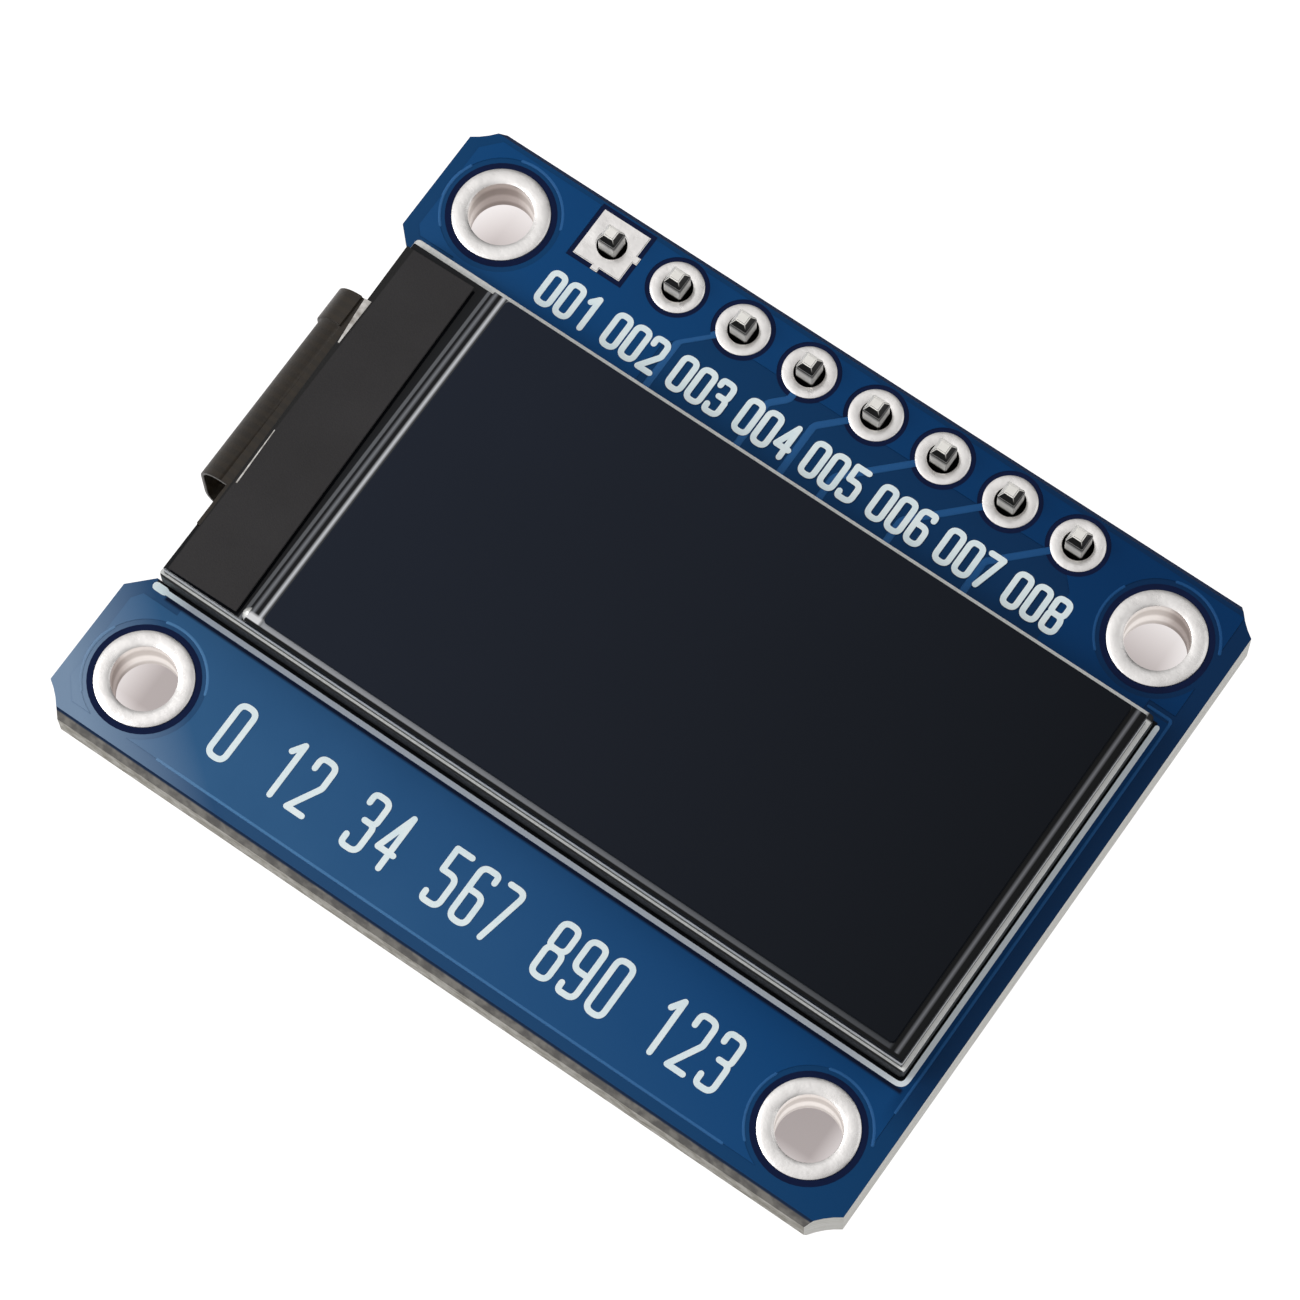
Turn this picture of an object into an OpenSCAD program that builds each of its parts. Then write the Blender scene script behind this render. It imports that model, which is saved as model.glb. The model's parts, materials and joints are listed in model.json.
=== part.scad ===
// Small colour display module: a circuit board with a glass display panel on its front,
// a pin header along its top edge and a flex tail that wraps round its left edge to the back.
// Millimetres. X runs along the long side, Y up the short side, Z out of the display.
// The origin is the middle of the four mounting holes, on the back face of the board.

/* [Board] */
// Length of the board along X
board_w = 29.8; // [28.8:0.2:34]
// Height of the board along Y
board_h = 24; // [23:0.5:28]
// Thickness of the board
board_t = 1.6; // [0.8:0.1:2]
// How far each corner cut runs along the two sides
corner_leg = 0.85; // [0.5:0.05:1.4]
// Radius of the slightly hollow corner cut
corner_r = 2.6; // [1.6:0.1:4]
// Depth of the V score along the two long edges, from the front
score_depth = 0.4; // [0.2:0.05:0.6]
// Width that the V score takes off the front
score_w = 0.24; // [0.05:0.01:0.35]
// Depth of the shallow V score along the same edges, from the back
back_score_depth = 0.2; // [0.1:0.05:0.35]
// Width that it takes off the back
back_score_w = 0.08; // [0.03:0.01:0.2]

/* [Notch for the flex tail] */
// How far the panel's left end hangs over the floor of the notch
panel_overhang = 0.45; // [0.2:0.05:1]
// How far the panel laps over the lower end of the notch
notch_lap_low = 0.05; // [0:0.05:0.5]
// How far the panel laps over the upper end of the notch
notch_lap_high = 0.4; // [0:0.05:0.8]
// Chamfer at the mouth of the notch
notch_mouth = 0.75; // [0.2:0.05:0.85]

/* [Mounting holes] */
// Distance of each mounting hole from the board's nearer short edge
hole_inset_x = 2.4; // [2.2:0.1:3]
// Distance of each mounting hole from the board's nearer long edge
hole_inset_y = 2.5; // [2.2:0.1:3]
// Diameter of the plated mounting holes
hole_d = 2.1; // [1.8:0.05:2.4]
// Width of the tinned ring round a mounting hole
hole_ring = 0.55; // [0.3:0.05:0.7]

/* [Plating] */
// Thickness of the tinned copper on faces and in holes
plating_t = 0.05; // [0.03:0.01:0.08]
// Clearance of the plated barrels in the drilled board
plating_fit = 0.01; // [0.005:0.005:0.03]

/* [Pin header] */
// Number of pins
pin_count = 8; // [4:1:8]
// Spacing of the pins
pin_pitch = 2.54; // [2.2:0.02:2.6]
// Distance of the pin row from the top edge of the board
header_inset = 1.35; // [1.2:0.05:1.6]
// Offset of the pin row from the middle of the board
header_x = -0.1; // [-0.5:0.1:0.5]
// Side of the square pins
pin_w = 0.64; // [0.5:0.02:0.7]
// Clearance at the corners of a pin in its plated hole
pin_hole_gap = 0.0475; // [0.03:0.0025:0.1]
// Width of the tinned ring round a pin hole
header_ring = 0.39; // [0.25:0.01:0.45]
// Length of the pins from the insulator up through the board
pin_tail = 2.65; // [2.45:0.05:4]
// Length of the pins below the insulator
pin_long = 6.0; // [4:0.5:10]
// Height of the chamfered tip of a pin
pin_tip = 0.25; // [0.1:0.05:0.5]
// How far the chamfer takes each side of the tip in
pin_tip_in = 0.15; // [0.05:0.01:0.22]
// Height of the insulator
insulator_h = 2.54; // [1.5:0.02:3]
// Width of the insulator across the row
insulator_w = 2.5; // [2:0.05:2.6]
// Corner cut of the insulator at each pin's cell
insulator_cut = 0.45; // [0.2:0.05:0.6]
// Clearance of the pins in the insulator
pin_fit = 0.01; // [0.005:0.005:0.03]

/* [Display panel] */
// Distance of the panel's left end from the board's left edge
panel_left_margin = 0.9; // [0.7:0.05:1.5]
// Distance of the panel's right end from the board's right edge
panel_right_margin = 0.95; // [0.5:0.05:2]
// Height of the panel along Y
panel_h = 13.76; // [13.2:0.02:14.5]
// Middle of the panel along Y
panel_y = 0.23; // [-0.5:0.01:0.5]
// Radius of the frame's upright corners
frame_corner_r = 0.15; // [0.1:0.05:0.5]
// Thickness of the adhesive pad under the panel
adhesive_t = 0.1; // [0.05:0.01:0.3]
// Inset of the adhesive pad from the panel's outline
adhesive_inset = 0.7; // [0.55:0.05:2]

/* [Backlight] */
// Wall of the backlight frame
frame_wall = 0.6; // [0.4:0.05:0.9]
// Clearance of the sheets inside the frame
sheet_gap = 0.1; // [0.05:0.01:0.2]
// Thickness of the reflector sheet
reflector_t = 0.06; // [0.04:0.01:0.12]
// Thickness of the light guide
guide_t = 0.4; // [0.3:0.05:0.6]
// Thickness of the diffuser sheet
diffuser_t = 0.05; // [0.04:0.01:0.1]
// Thickness of each prism sheet
prism_t = 0.06; // [0.04:0.01:0.1]
// Free height above the sheets, under the rim
film_gap = 0.02; // [0.01:0.01:0.05]
// Number of LEDs
led_count = 2; // [1:1:3]
// Length of an LED along Y
led_l = 2.0; // [1.5:0.1:2.6]
// Depth of an LED along X
led_w = 0.8; // [0.6:0.05:1]
// Spacing of the LEDs
led_pitch = 4.0; // [3:0.1:4.5]
// Gap between the LEDs and the light guide
led_gap = 0.05; // [0.02:0.01:0.1]
// Thickness of the LED strip
led_strip_t = 0.1; // [0.08:0.01:0.12]
// How far the LED strip laps over the light guide
led_strip_lap = 0.4; // [0.2:0.05:0.6]
// Length of the LED strip past the outer LEDs
led_strip_end = 0.8; // [0.4:0.1:1.2]
// Thickness of the black rim tape
rim_t = 0.05; // [0.03:0.01:0.1]
// Width of the black rim tape
rim_w = 1.15; // [0.9:0.05:1.5]

/* [Glass and films] */
// Inset of the glass from the frame's outline at the lower side and the two ends
glass_inset = 0.14; // [0.05:0.01:0.3]
// Inset of the glass from the frame's outline at the upper side
glass_inset_high = 0.34; // [0.05:0.01:0.4]
// Thickness of each of the two glasses
glass_t = 0.3; // [0.2:0.05:0.5]
// Width of the glass ledge at the left
ledge_w = 3.14; // [3.1:0.02:3.6]
// Thickness of the lower polarizer
lower_film_t = 0.1; // [0.08:0.01:0.15]
// Thickness of the upper polarizer
upper_film_t = 0.12; // [0.08:0.01:0.2]
// Margin of the upper polarizer at its left end
film_margin_left = 0.53; // [0.2:0.01:0.6]
// Margin of the upper polarizer at its right end
film_margin_right = 0.5; // [0.2:0.01:0.6]
// Margin of the upper polarizer at its lower edge
film_margin_low = 0.26; // [0.1:0.02:0.5]
// Margin of the upper polarizer at its upper edge
film_margin_high = 0.04; // [0.02:0.01:0.4]
// Radius of the upper polarizer's corners
film_corner_r = 0.15; // [0.05:0.05:0.4]

/* [Glass ledge] */
// Length of the driver chip along Y
chip_die_l = 11.2; // [9:0.1:12]
// Width of the driver chip along X
chip_die_w = 0.8; // [0.6:0.05:1]
// Thickness of the driver chip
chip_die_t = 0.15; // [0.12:0.01:0.2]
// Gap between the driver chip and the bonded end of the flex tail
chip_die_gap = 0.5; // [0.3:0.05:0.6]
// Thickness of the ledge tape
tape_t = 0.06; // [0.04:0.01:0.09]
// Gap between the ledge tape and the step of the upper glass, halfway along
tape_gap = 0.5; // [0.3:0.05:0.6]
// Inset of the ledge tape from the glass at its left side, halfway along
tape_inset = 0.06; // [0.02:0.01:0.1]
// Inset of the ledge tape from the glass at its lower end
tape_inset_low = 0.07; // [0.02:0.01:0.3]
// Inset of the ledge tape from the glass at its upper end
tape_inset_high = 0.24; // [0.02:0.01:0.4]
// Angle at which the ledge tape is stuck on, in degrees
tape_lean = 1.1; // [0:0.1:1.5]
// Radius of the dot of silver paste at the foot of the upper glass
paste_r = 0.24; // [0.15:0.01:0.3]
// Height of the dot of silver paste
paste_h = 0.3; // [0.15:0.01:0.3]
// Distance of the dot's middle from the lower side of the glass
paste_inset = 0.29; // [0.25:0.01:0.5]

/* [Flex tail] */
// Thickness of the flex tail
flex_t = 0.12; // [0.08:0.01:0.15]
// Length of the flex tail that is bonded on the glass ledge
flex_bond = 0.9; // [0.6:0.05:1.1]
// Width of the bonded end
flex_bond_w = 10.6; // [9:0.1:12]
// Width of the flex tail in the bend
flex_bend_w = 7.5; // [6:0.1:9]
// Middle of the flex tail along Y, from the middle of the panel
flex_shift = 0.32; // [-1:0.01:1]
// How far the bend reaches past the panel's left end
flex_reach = 0.95; // [0.8:0.05:1.6]
// Outer radius of the two bends
flex_r = 0.88; // [0.6:0.02:1.2]
// Length of the flat end on the back of the board
flex_back = 4.6; // [3:0.1:6]
// Width of the thicker ear at the upper end of the bend
ear_w = 1.2; // [0.8:0.1:2]
// Extra thickness of the ear
ear_t = 0.1; // [0.05:0.01:0.15]
// Number of contact fingers
finger_count = 13; // [6:1:13]
// Spacing of the fingers
finger_pitch = 0.7; // [0.6:0.05:0.75]
// Width of a finger
finger_w = 0.4; // [0.3:0.02:0.45]
// Length of a finger
finger_l = 1.4; // [1:0.1:2]
// Thickness of the tinned copper of a finger
finger_t = 0.03; // [0.02:0.01:0.05]
// Margin of the flex tail past its outer fingers
finger_margin = 0.45; // [0.3:0.05:0.8]
// Length of the solder pads past the end of the flex tail
pad_past = 0.9; // [0.7:0.05:1.4]
// Length of the solder pads under the flex tail
pad_under = 1.0; // [0.5:0.1:1.4]
// Length of a solder bead
bead_l = 0.65; // [0.5:0.05:0.7]
// Radius of a solder bead
bead_r = 0.2; // [0.16:0.01:0.22]

/* [Small parts on the back] */
// Gap between neighbouring small parts
part_gap = 0.85; // [0.7:0.05:1]
// Gap between the header's insulator and the row of small parts
row_gap = 0.6; // [0.4:0.1:1.2]
// Shift of the row of small parts along X
row_shift = 1.0; // [0:0.1:1.5]
// Length of a chip resistor or capacitor
chip_l = 1.6; // [1.4:0.05:1.8]
// Width of a chip resistor or capacitor
chip_w = 0.8; // [0.7:0.05:0.9]
// Height of a chip resistor
resistor_h = 0.45; // [0.35:0.05:0.6]
// Height of a chip capacitor
capacitor_h = 0.8; // [0.6:0.05:1]
// Length of the metal end caps
cap_l = 0.3; // [0.2:0.02:0.4]
// Thickness of the metal end caps
cap_t = 0.03; // [0.02:0.01:0.05]
// Length of a three-lead package
sot_l = 2.9; // [2.7:0.05:3.1]
// Width of its body
sot_w = 1.3; // [1.1:0.05:1.5]
// Height of its body
sot_h = 1.0; // [0.8:0.05:1.2]
// Span over its leads
sot_span = 2.4; // [2.2:0.05:2.7]
// Spacing of the two leads on one side
sot_pitch = 1.9; // [1.7:0.05:2]
// Gap under its body
sot_stand = 0.08; // [0.04:0.01:0.15]
// Draft of its body, per side
sot_draft = 0.08; // [0.03:0.01:0.12]
// Width of a lead
lead_w = 0.42; // [0.35:0.01:0.5]
// Thickness of a lead
lead_t = 0.12; // [0.1:0.01:0.15]
// Length of a lead's foot
lead_foot = 0.34; // [0.25:0.01:0.4]
// How far a lead runs inside the body
lead_root = 0.25; // [0.1:0.05:0.4]
// How far a solder land runs past a lead or an end cap
land_past = 0.4; // [0.3:0.05:0.5]
// Margin of a solder land round a lead or an end cap
land_margin = 0.07; // [0.03:0.01:0.12]
// Length of a solder fillet
fillet_l = 0.28; // [0.2:0.02:0.3]
// Height of a solder fillet at a chip's end
fillet_h = 0.26; // [0.2:0.02:0.34]

/* [Hidden] */
$fn = 60;

// A cut reaches this far past the solid that it cuts
past = 1;

// Mounting holes and header
hole_x = board_w / 2 - hole_inset_x;
hole_y = board_h / 2 - hole_inset_y;
header_y = board_h / 2 - header_inset;
header_hole_d = pin_w * sqrt(2) + 2 * pin_hole_gap;
header_pad_d = header_hole_d + 2 * header_ring;
insulator_z = -plating_t - insulator_h;
pin_xs = [for (i = [0:pin_count - 1]) header_x + (i - (pin_count - 1) / 2) * pin_pitch];

// Outline of the panel
panel_w = board_w - panel_left_margin - panel_right_margin;
panel_left = panel_left_margin - board_w / 2;
panel_low = panel_y - panel_h / 2;

// Levels of the panel's layers, from the board upwards
frame_z = board_t + adhesive_t;
guide_z = frame_z + reflector_t;
diffuser_z = guide_z + guide_t;
lower_prism_z = diffuser_z + diffuser_t;
upper_prism_z = lower_prism_z + prism_t;
rim_z = upper_prism_z + prism_t + film_gap;
lower_film_z = rim_z + rim_t;
tft_z = lower_film_z + lower_film_t;
ledge_z = tft_z + glass_t;
upper_film_z = ledge_z + glass_t;

// Inside of the backlight frame, and the bay for the LEDs at its left end
bay_left = panel_left + frame_wall + sheet_gap;
bay_low = panel_low + frame_wall + sheet_gap;
bay_w = panel_w - 2 * (frame_wall + sheet_gap);
bay_h = panel_h - 2 * (frame_wall + sheet_gap);
guide_left = bay_left + led_w + led_gap;
guide_w = bay_left + bay_w - guide_left;
film_left = guide_left + led_strip_lap + sheet_gap;
film_w = bay_left + bay_w - film_left;

// The two glasses
glass_left = panel_left + glass_inset;
glass_low = panel_low + glass_inset;
glass_w = panel_w - 2 * glass_inset;
glass_h = panel_h - glass_inset - glass_inset_high;
upper_glass_left = glass_left + ledge_w;
upper_glass_w = glass_w - ledge_w;

// Flex tail: its middle, its bends and its flat end on the back
flex_y = panel_y + flex_shift;
flex_out = panel_left - flex_reach;
bend_x = flex_out + flex_r;
upper_bend_z = ledge_z + flex_t - flex_r;
lower_bend_z = flex_r - flex_t - plating_t;
flex_end = bend_x + flex_back;
flex_end_w = (finger_count - 1) * finger_pitch + finger_w + 2 * finger_margin;
finger_ys = [for (i = [0:finger_count - 1]) flex_y + (i - (finger_count - 1) / 2) * finger_pitch];

// Row of small parts on the back, below the header: c capacitor, r resistor, v regulator, q transistor
row_kinds = ["c", "v", "c", "c", "r", "q", "r", "r"];
row_last = len(row_kinds) - 1;
function is_sot(k) = k == "v" || k == "q";
function part_len(k) = is_sot(k) ? sot_l : chip_w;
function row_run(i) = i == 0
    ? part_len(row_kinds[0]) / 2
    : row_run(i - 1) + part_len(row_kinds[i - 1]) / 2 + part_gap + part_len(row_kinds[i]) / 2;
row_l = row_run(row_last) + part_len(row_kinds[row_last]) / 2;
function part_x(i) = row_shift - row_l / 2 + row_run(i);
row_half = max(sot_span, chip_l) / 2 + land_past;
row_y = header_y - insulator_w / 2 - row_gap - row_half;
function places(kind) = [for (i = [0:row_last]) if (row_kinds[i] == kind) part_x(i)];

// A rectangle with round corners
module round_rect(w, h, r) {
    translate([r, 0]) square([w - 2 * r, h]);
    translate([0, r]) square([w, h - 2 * r]);
    for (x = [r, w - r], y = [r, h - r]) translate([x, y]) circle(r);
}

// Outline of the board: cut corners, and the notch with its chamfered mouth at the left
module board_outline() {
    cut_out = (sqrt(2 * corner_r * corner_r - corner_leg * corner_leg) - corner_leg) / 2;
    floor_x = panel_left + panel_overhang;
    low_y = panel_low + notch_lap_low;
    high_y = panel_low + panel_h - notch_lap_high;
    left_x = -board_w / 2;
    difference() {
        square([board_w, board_h], center = true);
        for (sx = [-1, 1], sy = [-1, 1])
            translate([sx * (board_w / 2 + cut_out), sy * (board_h / 2 + cut_out)]) circle(corner_r);
        polygon([
            [left_x - past, low_y - notch_mouth - past],
            [left_x, low_y - notch_mouth],
            [left_x + notch_mouth, low_y],
            [floor_x, low_y],
            [floor_x, high_y],
            [left_x + notch_mouth, high_y],
            [left_x, high_y + notch_mouth],
            [left_x - past, high_y + notch_mouth + past]
        ]);
    }
}

// Wedge that a V score of width w and depth d takes off one long edge, at y = 0 and z = 0
module score_wedge(w, d) {
    slope = w / d;
    translate([-board_w / 2 - past, 0, 0]) rotate([90, 0, 90])
        linear_extrude(board_w + 2 * past)
            polygon([
                [-w - slope * past, past],
                [past, past],
                [past, -d],
                [0, -d]
            ]);
}

module circuit_board() {
    color("#1b4882") difference() {
        linear_extrude(board_t) board_outline();
        for (side = [0, 1]) mirror([0, side, 0]) {
            translate([0, board_h / 2, board_t]) score_wedge(score_w, score_depth);
            translate([0, board_h / 2, 0]) mirror([0, 0, 1]) score_wedge(back_score_w, back_score_depth);
        }
        for (x = [-hole_x, hole_x], y = [-hole_y, hole_y])
            translate([x, y, -past])
                cylinder(d = hole_d + 2 * (plating_t + plating_fit), h = board_t + 2 * past);
        for (x = pin_xs)
            translate([x, header_y, -past])
                cylinder(d = header_hole_d + 2 * (plating_t + plating_fit), h = board_t + 2 * past);
    }
}

// Plated barrel with a ring on each face of the board
module plated_hole(bore_d, pad_d) {
    difference() {
        union() {
            cylinder(d = bore_d + 2 * plating_t, h = board_t);
            for (z = [-plating_t, board_t]) translate([0, 0, z]) cylinder(d = pad_d, h = plating_t);
        }
        translate([0, 0, -past]) cylinder(d = bore_d, h = board_t + 2 * past);
    }
}

module mounting_hole_platings() {
    color("silver")
        for (x = [-hole_x, hole_x], y = [-hole_y, hole_y])
            translate([x, y, 0]) plated_hole(hole_d, hole_d + 2 * hole_ring);
}

// Square pad of the first pin, with the two spokes that tie it to the copper round it
module square_pad() {
    spoke = 0.18 * header_pad_d;
    reach = spoke / 2;
    side = header_pad_d;
    translate([-side / 2, -side / 2, 0]) cube([side, side, plating_t]);
    translate([-spoke / 2, -side / 2 - reach, 0]) cube([spoke, side, plating_t]);
    translate([-side / 2 + reach, -spoke / 2, 0]) cube([side, spoke, plating_t]);
}

module header_hole_platings() {
    color("silver") {
        for (i = [1:pin_count - 1])
            translate([pin_xs[i], header_y, 0]) plated_hole(header_hole_d, header_pad_d);
        translate([pin_xs[0], header_y, 0]) difference() {
            union() {
                cylinder(d = header_hole_d + 2 * plating_t, h = board_t);
                for (z = [-plating_t, board_t]) translate([0, 0, z]) square_pad();
            }
            translate([0, 0, -past]) cylinder(d = header_hole_d, h = board_t + 2 * past);
        }
    }
}

// Side view of a pin with a chamfered tip at each end, from z = 0 upwards
module pin_side(l) {
    half = pin_w / 2;
    tip = half - pin_tip_in;
    polygon([
        [-tip, 0], [tip, 0], [half, pin_tip], [half, l - pin_tip],
        [tip, l], [-tip, l], [-half, l - pin_tip], [-half, pin_tip]
    ]);
}

module pin(l) {
    intersection() {
        translate([0, pin_w, 0]) rotate([90, 0, 0]) linear_extrude(2 * pin_w) pin_side(l);
        translate([-pin_w, 0, 0]) rotate([90, 0, 90]) linear_extrude(2 * pin_w) pin_side(l);
    }
}

module header_pins() {
    color("#d8d2b8")
        for (x = pin_xs)
            translate([x, header_y, insulator_z - pin_long])
                pin(pin_long + insulator_h + pin_tail);
}

// One pin's cell of the insulator, with its four corners cut
module insulator_cell() {
    a = pin_pitch / 2;
    b = insulator_w / 2;
    c = insulator_cut;
    polygon([
        [-a + c, -b], [a - c, -b], [a, -b + c], [a, b - c],
        [a - c, b], [-a + c, b], [-a, b - c], [-a, -b + c]
    ]);
}

module header_insulator() {
    slot = pin_w + 2 * pin_fit;
    color("#151515") translate([0, header_y, insulator_z]) linear_extrude(insulator_h)
        difference() {
            for (x = pin_xs) translate([x, 0]) insulator_cell();
            for (x = pin_xs) translate([x, 0]) square(slot, center = true);
        }
}

module panel_adhesive_pad() {
    right = panel_left + panel_w - adhesive_inset;
    left = panel_left + adhesive_inset;
    color("#e8e6df") translate([left, panel_low + adhesive_inset, board_t])
        cube([right - left, panel_h - 2 * adhesive_inset, adhesive_t]);
}

module backlight_frame() {
    color("#1a1c1c") translate([panel_left, panel_low, frame_z]) linear_extrude(rim_z - frame_z)
        difference() {
            round_rect(panel_w, panel_h, frame_corner_r);
            translate([frame_wall, frame_wall])
                square([panel_w - 2 * frame_wall, panel_h - 2 * frame_wall]);
        }
}

// A plain sheet inside the frame, from its left edge to the right end of the bay
module bay_sheet(left, w, z, t) {
    translate([left, bay_low, z]) cube([w, bay_h, t]);
}

module reflector_sheet() {
    color("white") bay_sheet(bay_left, bay_w, frame_z, reflector_t);
}

module light_guide() {
    color("#dff0f4") bay_sheet(guide_left, guide_w, guide_z, guide_t);
}

module diffuser_sheet() {
    color("#f4f4f0") bay_sheet(film_left, film_w, diffuser_z, diffuser_t);
}

module lower_prism_sheet() {
    color("#e4e8ea") bay_sheet(film_left, film_w, lower_prism_z, prism_t);
}

module upper_prism_sheet() {
    color("#dde2e6") bay_sheet(film_left, film_w, upper_prism_z, prism_t);
}

// Side-firing LEDs on the reflector, each with its light window towards the guide
module backlight_leds() {
    window_in = led_w / 8;
    window_side = led_l / 8;
    window_edge = guide_t / 6;
    color("#f2e9b8")
        for (i = [0:led_count - 1])
            translate([bay_left, panel_y + (i - (led_count - 1) / 2) * led_pitch - led_l / 2, guide_z])
                difference() {
                    cube([led_w, led_l, guide_t]);
                    translate([led_w - window_in, window_side, window_edge])
                        cube([past, led_l - 2 * window_side, guide_t - 2 * window_edge]);
                }
}

module led_strip() {
    l = (led_count - 1) * led_pitch + led_l + 2 * led_strip_end;
    color("#5a3a1c") translate([bay_left, panel_y - l / 2, diffuser_z])
        cube([guide_left + led_strip_lap - bay_left, l, led_strip_t]);
}

module light_shield_rim() {
    inner = rim_w - glass_inset;
    color("#0c0c0c") translate([glass_left, glass_low, rim_z]) linear_extrude(rim_t)
        difference() {
            square([glass_w, glass_h]);
            translate([inner, inner]) square([glass_w - 2 * inner, glass_h - 2 * inner]);
        }
}

module lower_polarizer() {
    color("#2a2c30") translate([glass_left, glass_low, lower_film_z])
        cube([glass_w, glass_h, lower_film_t]);
}

module tft_glass() {
    color("#6f7a80") translate([glass_left, glass_low, tft_z]) cube([glass_w, glass_h, glass_t]);
}

module colour_filter_glass() {
    color("#7c868c") translate([upper_glass_left, glass_low, ledge_z])
        cube([upper_glass_w, glass_h, glass_t]);
}

module upper_polarizer() {
    color("#14171c")
        translate([upper_glass_left + film_margin_left, glass_low + film_margin_low, upper_film_z])
            linear_extrude(upper_film_t)
                round_rect(
                    upper_glass_w - film_margin_left - film_margin_right,
                    glass_h - film_margin_low - film_margin_high,
                    film_corner_r
                );
}

module driver_chip() {
    color("#3c3e44")
        translate([glass_left + flex_bond + chip_die_gap, panel_y - chip_die_l / 2, ledge_z])
            cube([chip_die_w, chip_die_l, chip_die_t]);
}

// Tape over the driver chip and the bonded end of the flex tail, stuck on a little out of line
module ledge_tape() {
    seat = ledge_z + max(chip_die_t, flex_t);
    w = ledge_w - tape_inset - tape_gap;
    l = glass_h - tape_inset_low - tape_inset_high;
    color("#2e2c2c")
        translate([glass_left + tape_inset + w / 2, glass_low + tape_inset_low + l / 2, seat])
            rotate([0, 0, tape_lean]) translate([-w / 2, -l / 2, 0]) cube([w, l, tape_t]);
}

// Silver paste that ties the coating of the upper glass to the ledge, at the lower end of the step
module shield_paste_dot() {
    color("#dcdcda") translate([upper_glass_left, glass_low + paste_inset, ledge_z]) intersection() {
        scale([1, 1, paste_h / paste_r]) sphere(paste_r, $fn = 28);
        translate([-past, -past, 0]) cube([past, 2 * past, past]);
    }
}

// A quarter of a bent sheet about an axis along Y, from angle a (0 is +X, 90 is +Z)
module quarter_bend(x, z, a, r_in, t, y_low, w) {
    translate([x, y_low + w, z]) rotate([90, 0, 0]) rotate([0, 0, a])
        rotate_extrude(angle = 90) translate([r_in, 0]) square([t, w]);
}

module flex_tail() {
    low = flex_y - flex_bend_w / 2;
    ear_low = low + flex_bend_w - ear_w;
    r_in = flex_r - flex_t;
    drop = upper_bend_z - lower_bend_z;
    bond_low = flex_y - flex_bond_w / 2;
    back_z = -plating_t - flex_t;
    back_low = flex_y - flex_end_w / 2;
    neck = flex_back - finger_l - finger_margin;
    color("#38322a") {
        translate([glass_left, bond_low, ledge_z]) cube([flex_bond, flex_bond_w, flex_t]);
        translate([bend_x, low, ledge_z]) cube([glass_left - bend_x, flex_bend_w, flex_t]);
        quarter_bend(bend_x, upper_bend_z, 90, r_in, flex_t, low, flex_bend_w);
        translate([flex_out, low, lower_bend_z]) cube([flex_t, flex_bend_w, drop]);
        quarter_bend(bend_x, lower_bend_z, 180, r_in, flex_t, low, flex_bend_w);
        translate([bend_x, low, back_z]) cube([neck, flex_bend_w, flex_t]);
        translate([bend_x + neck, back_low, back_z]) cube([flex_back - neck, flex_end_w, flex_t]);
        quarter_bend(bend_x, upper_bend_z, 90, flex_r, ear_t, ear_low, ear_w);
        translate([flex_out - ear_t, ear_low, lower_bend_z]) cube([ear_t, ear_w, drop]);
    }
}

module flex_fingers() {
    color("#d9d9d2")
        for (y = finger_ys)
            translate([flex_end - finger_l, y - finger_w / 2, -plating_t - flex_t - finger_t])
                cube([finger_l, finger_w, finger_t]);
}

module flex_solder_pads() {
    color("silver")
        for (y = finger_ys)
            translate([flex_end - pad_under, y - finger_w / 2, -plating_t])
                cube([pad_under + pad_past, finger_w, plating_t]);
}

// Half-round beads that run out in a cone, on the pads at the end of the flex tail
module flex_solder_joints() {
    color("#d4d6d6")
        for (y = finger_ys)
            translate([flex_end, y, -plating_t]) intersection() {
                rotate([0, 90, 0]) {
                    cylinder(r = bead_r, h = bead_l - bead_r);
                    translate([0, 0, bead_l - bead_r]) cylinder(r1 = bead_r, r2 = bead_r / 3, h = bead_r);
                }
                translate([0, -past, -past]) cube([past, 2 * past, past]);
            }
}

// Places a small part on the tinned lands of the back, upside down, with its length across the row
module on_back(x) {
    translate([x, row_y, -plating_t]) mirror([0, 0, 1]) children();
}

// The three lead places of a package: two leads on one side, one on the other
module at_leads() {
    for (x = [-sot_pitch / 2, sot_pitch / 2]) translate([x, 0, 0]) children();
    mirror([0, 1, 0]) children();
}

// Gull-wing lead: foot, riser and the root inside the body
module lead() {
    toe = sot_span / 2;
    heel = toe - lead_foot;
    riser = sot_w / 2 + sot_draft;
    root = sot_w / 2 - lead_root;
    mid = sot_stand + sot_h / 2 - lead_t / 2;
    translate([-lead_w / 2, 0, 0]) rotate([90, 0, 90]) linear_extrude(lead_w)
        polygon([
            [toe, 0], [toe, lead_t], [heel + lead_t, lead_t], [riser + lead_t, mid + lead_t],
            [root, mid + lead_t], [root, mid], [riser, mid], [heel, 0]
        ]);
}

// Moulded body, widest at its parting line, with the leads' roots cut out of it
module package_body() {
    mid = sot_h / 2;
    difference() {
        translate([0, 0, sot_stand]) intersection() {
            translate([0, sot_w, 0]) rotate([90, 0, 0]) linear_extrude(2 * sot_w)
                package_side(sot_l / 2, mid);
            translate([-sot_l, 0, 0]) rotate([90, 0, 90]) linear_extrude(2 * sot_l)
                package_side(sot_w / 2, mid);
        }
        at_leads() lead();
    }
}

// Side view of a moulded body of half width a and half height mid, with draft both ways
module package_side(a, mid) {
    polygon([
        [-a + sot_draft, 0], [a - sot_draft, 0], [a, mid],
        [a - sot_draft, 2 * mid], [-a + sot_draft, 2 * mid], [-a, mid]
    ]);
}

module regulator_body() {
    color("#1c1c1e") for (x = places("v")) on_back(x) package_body();
}

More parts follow.
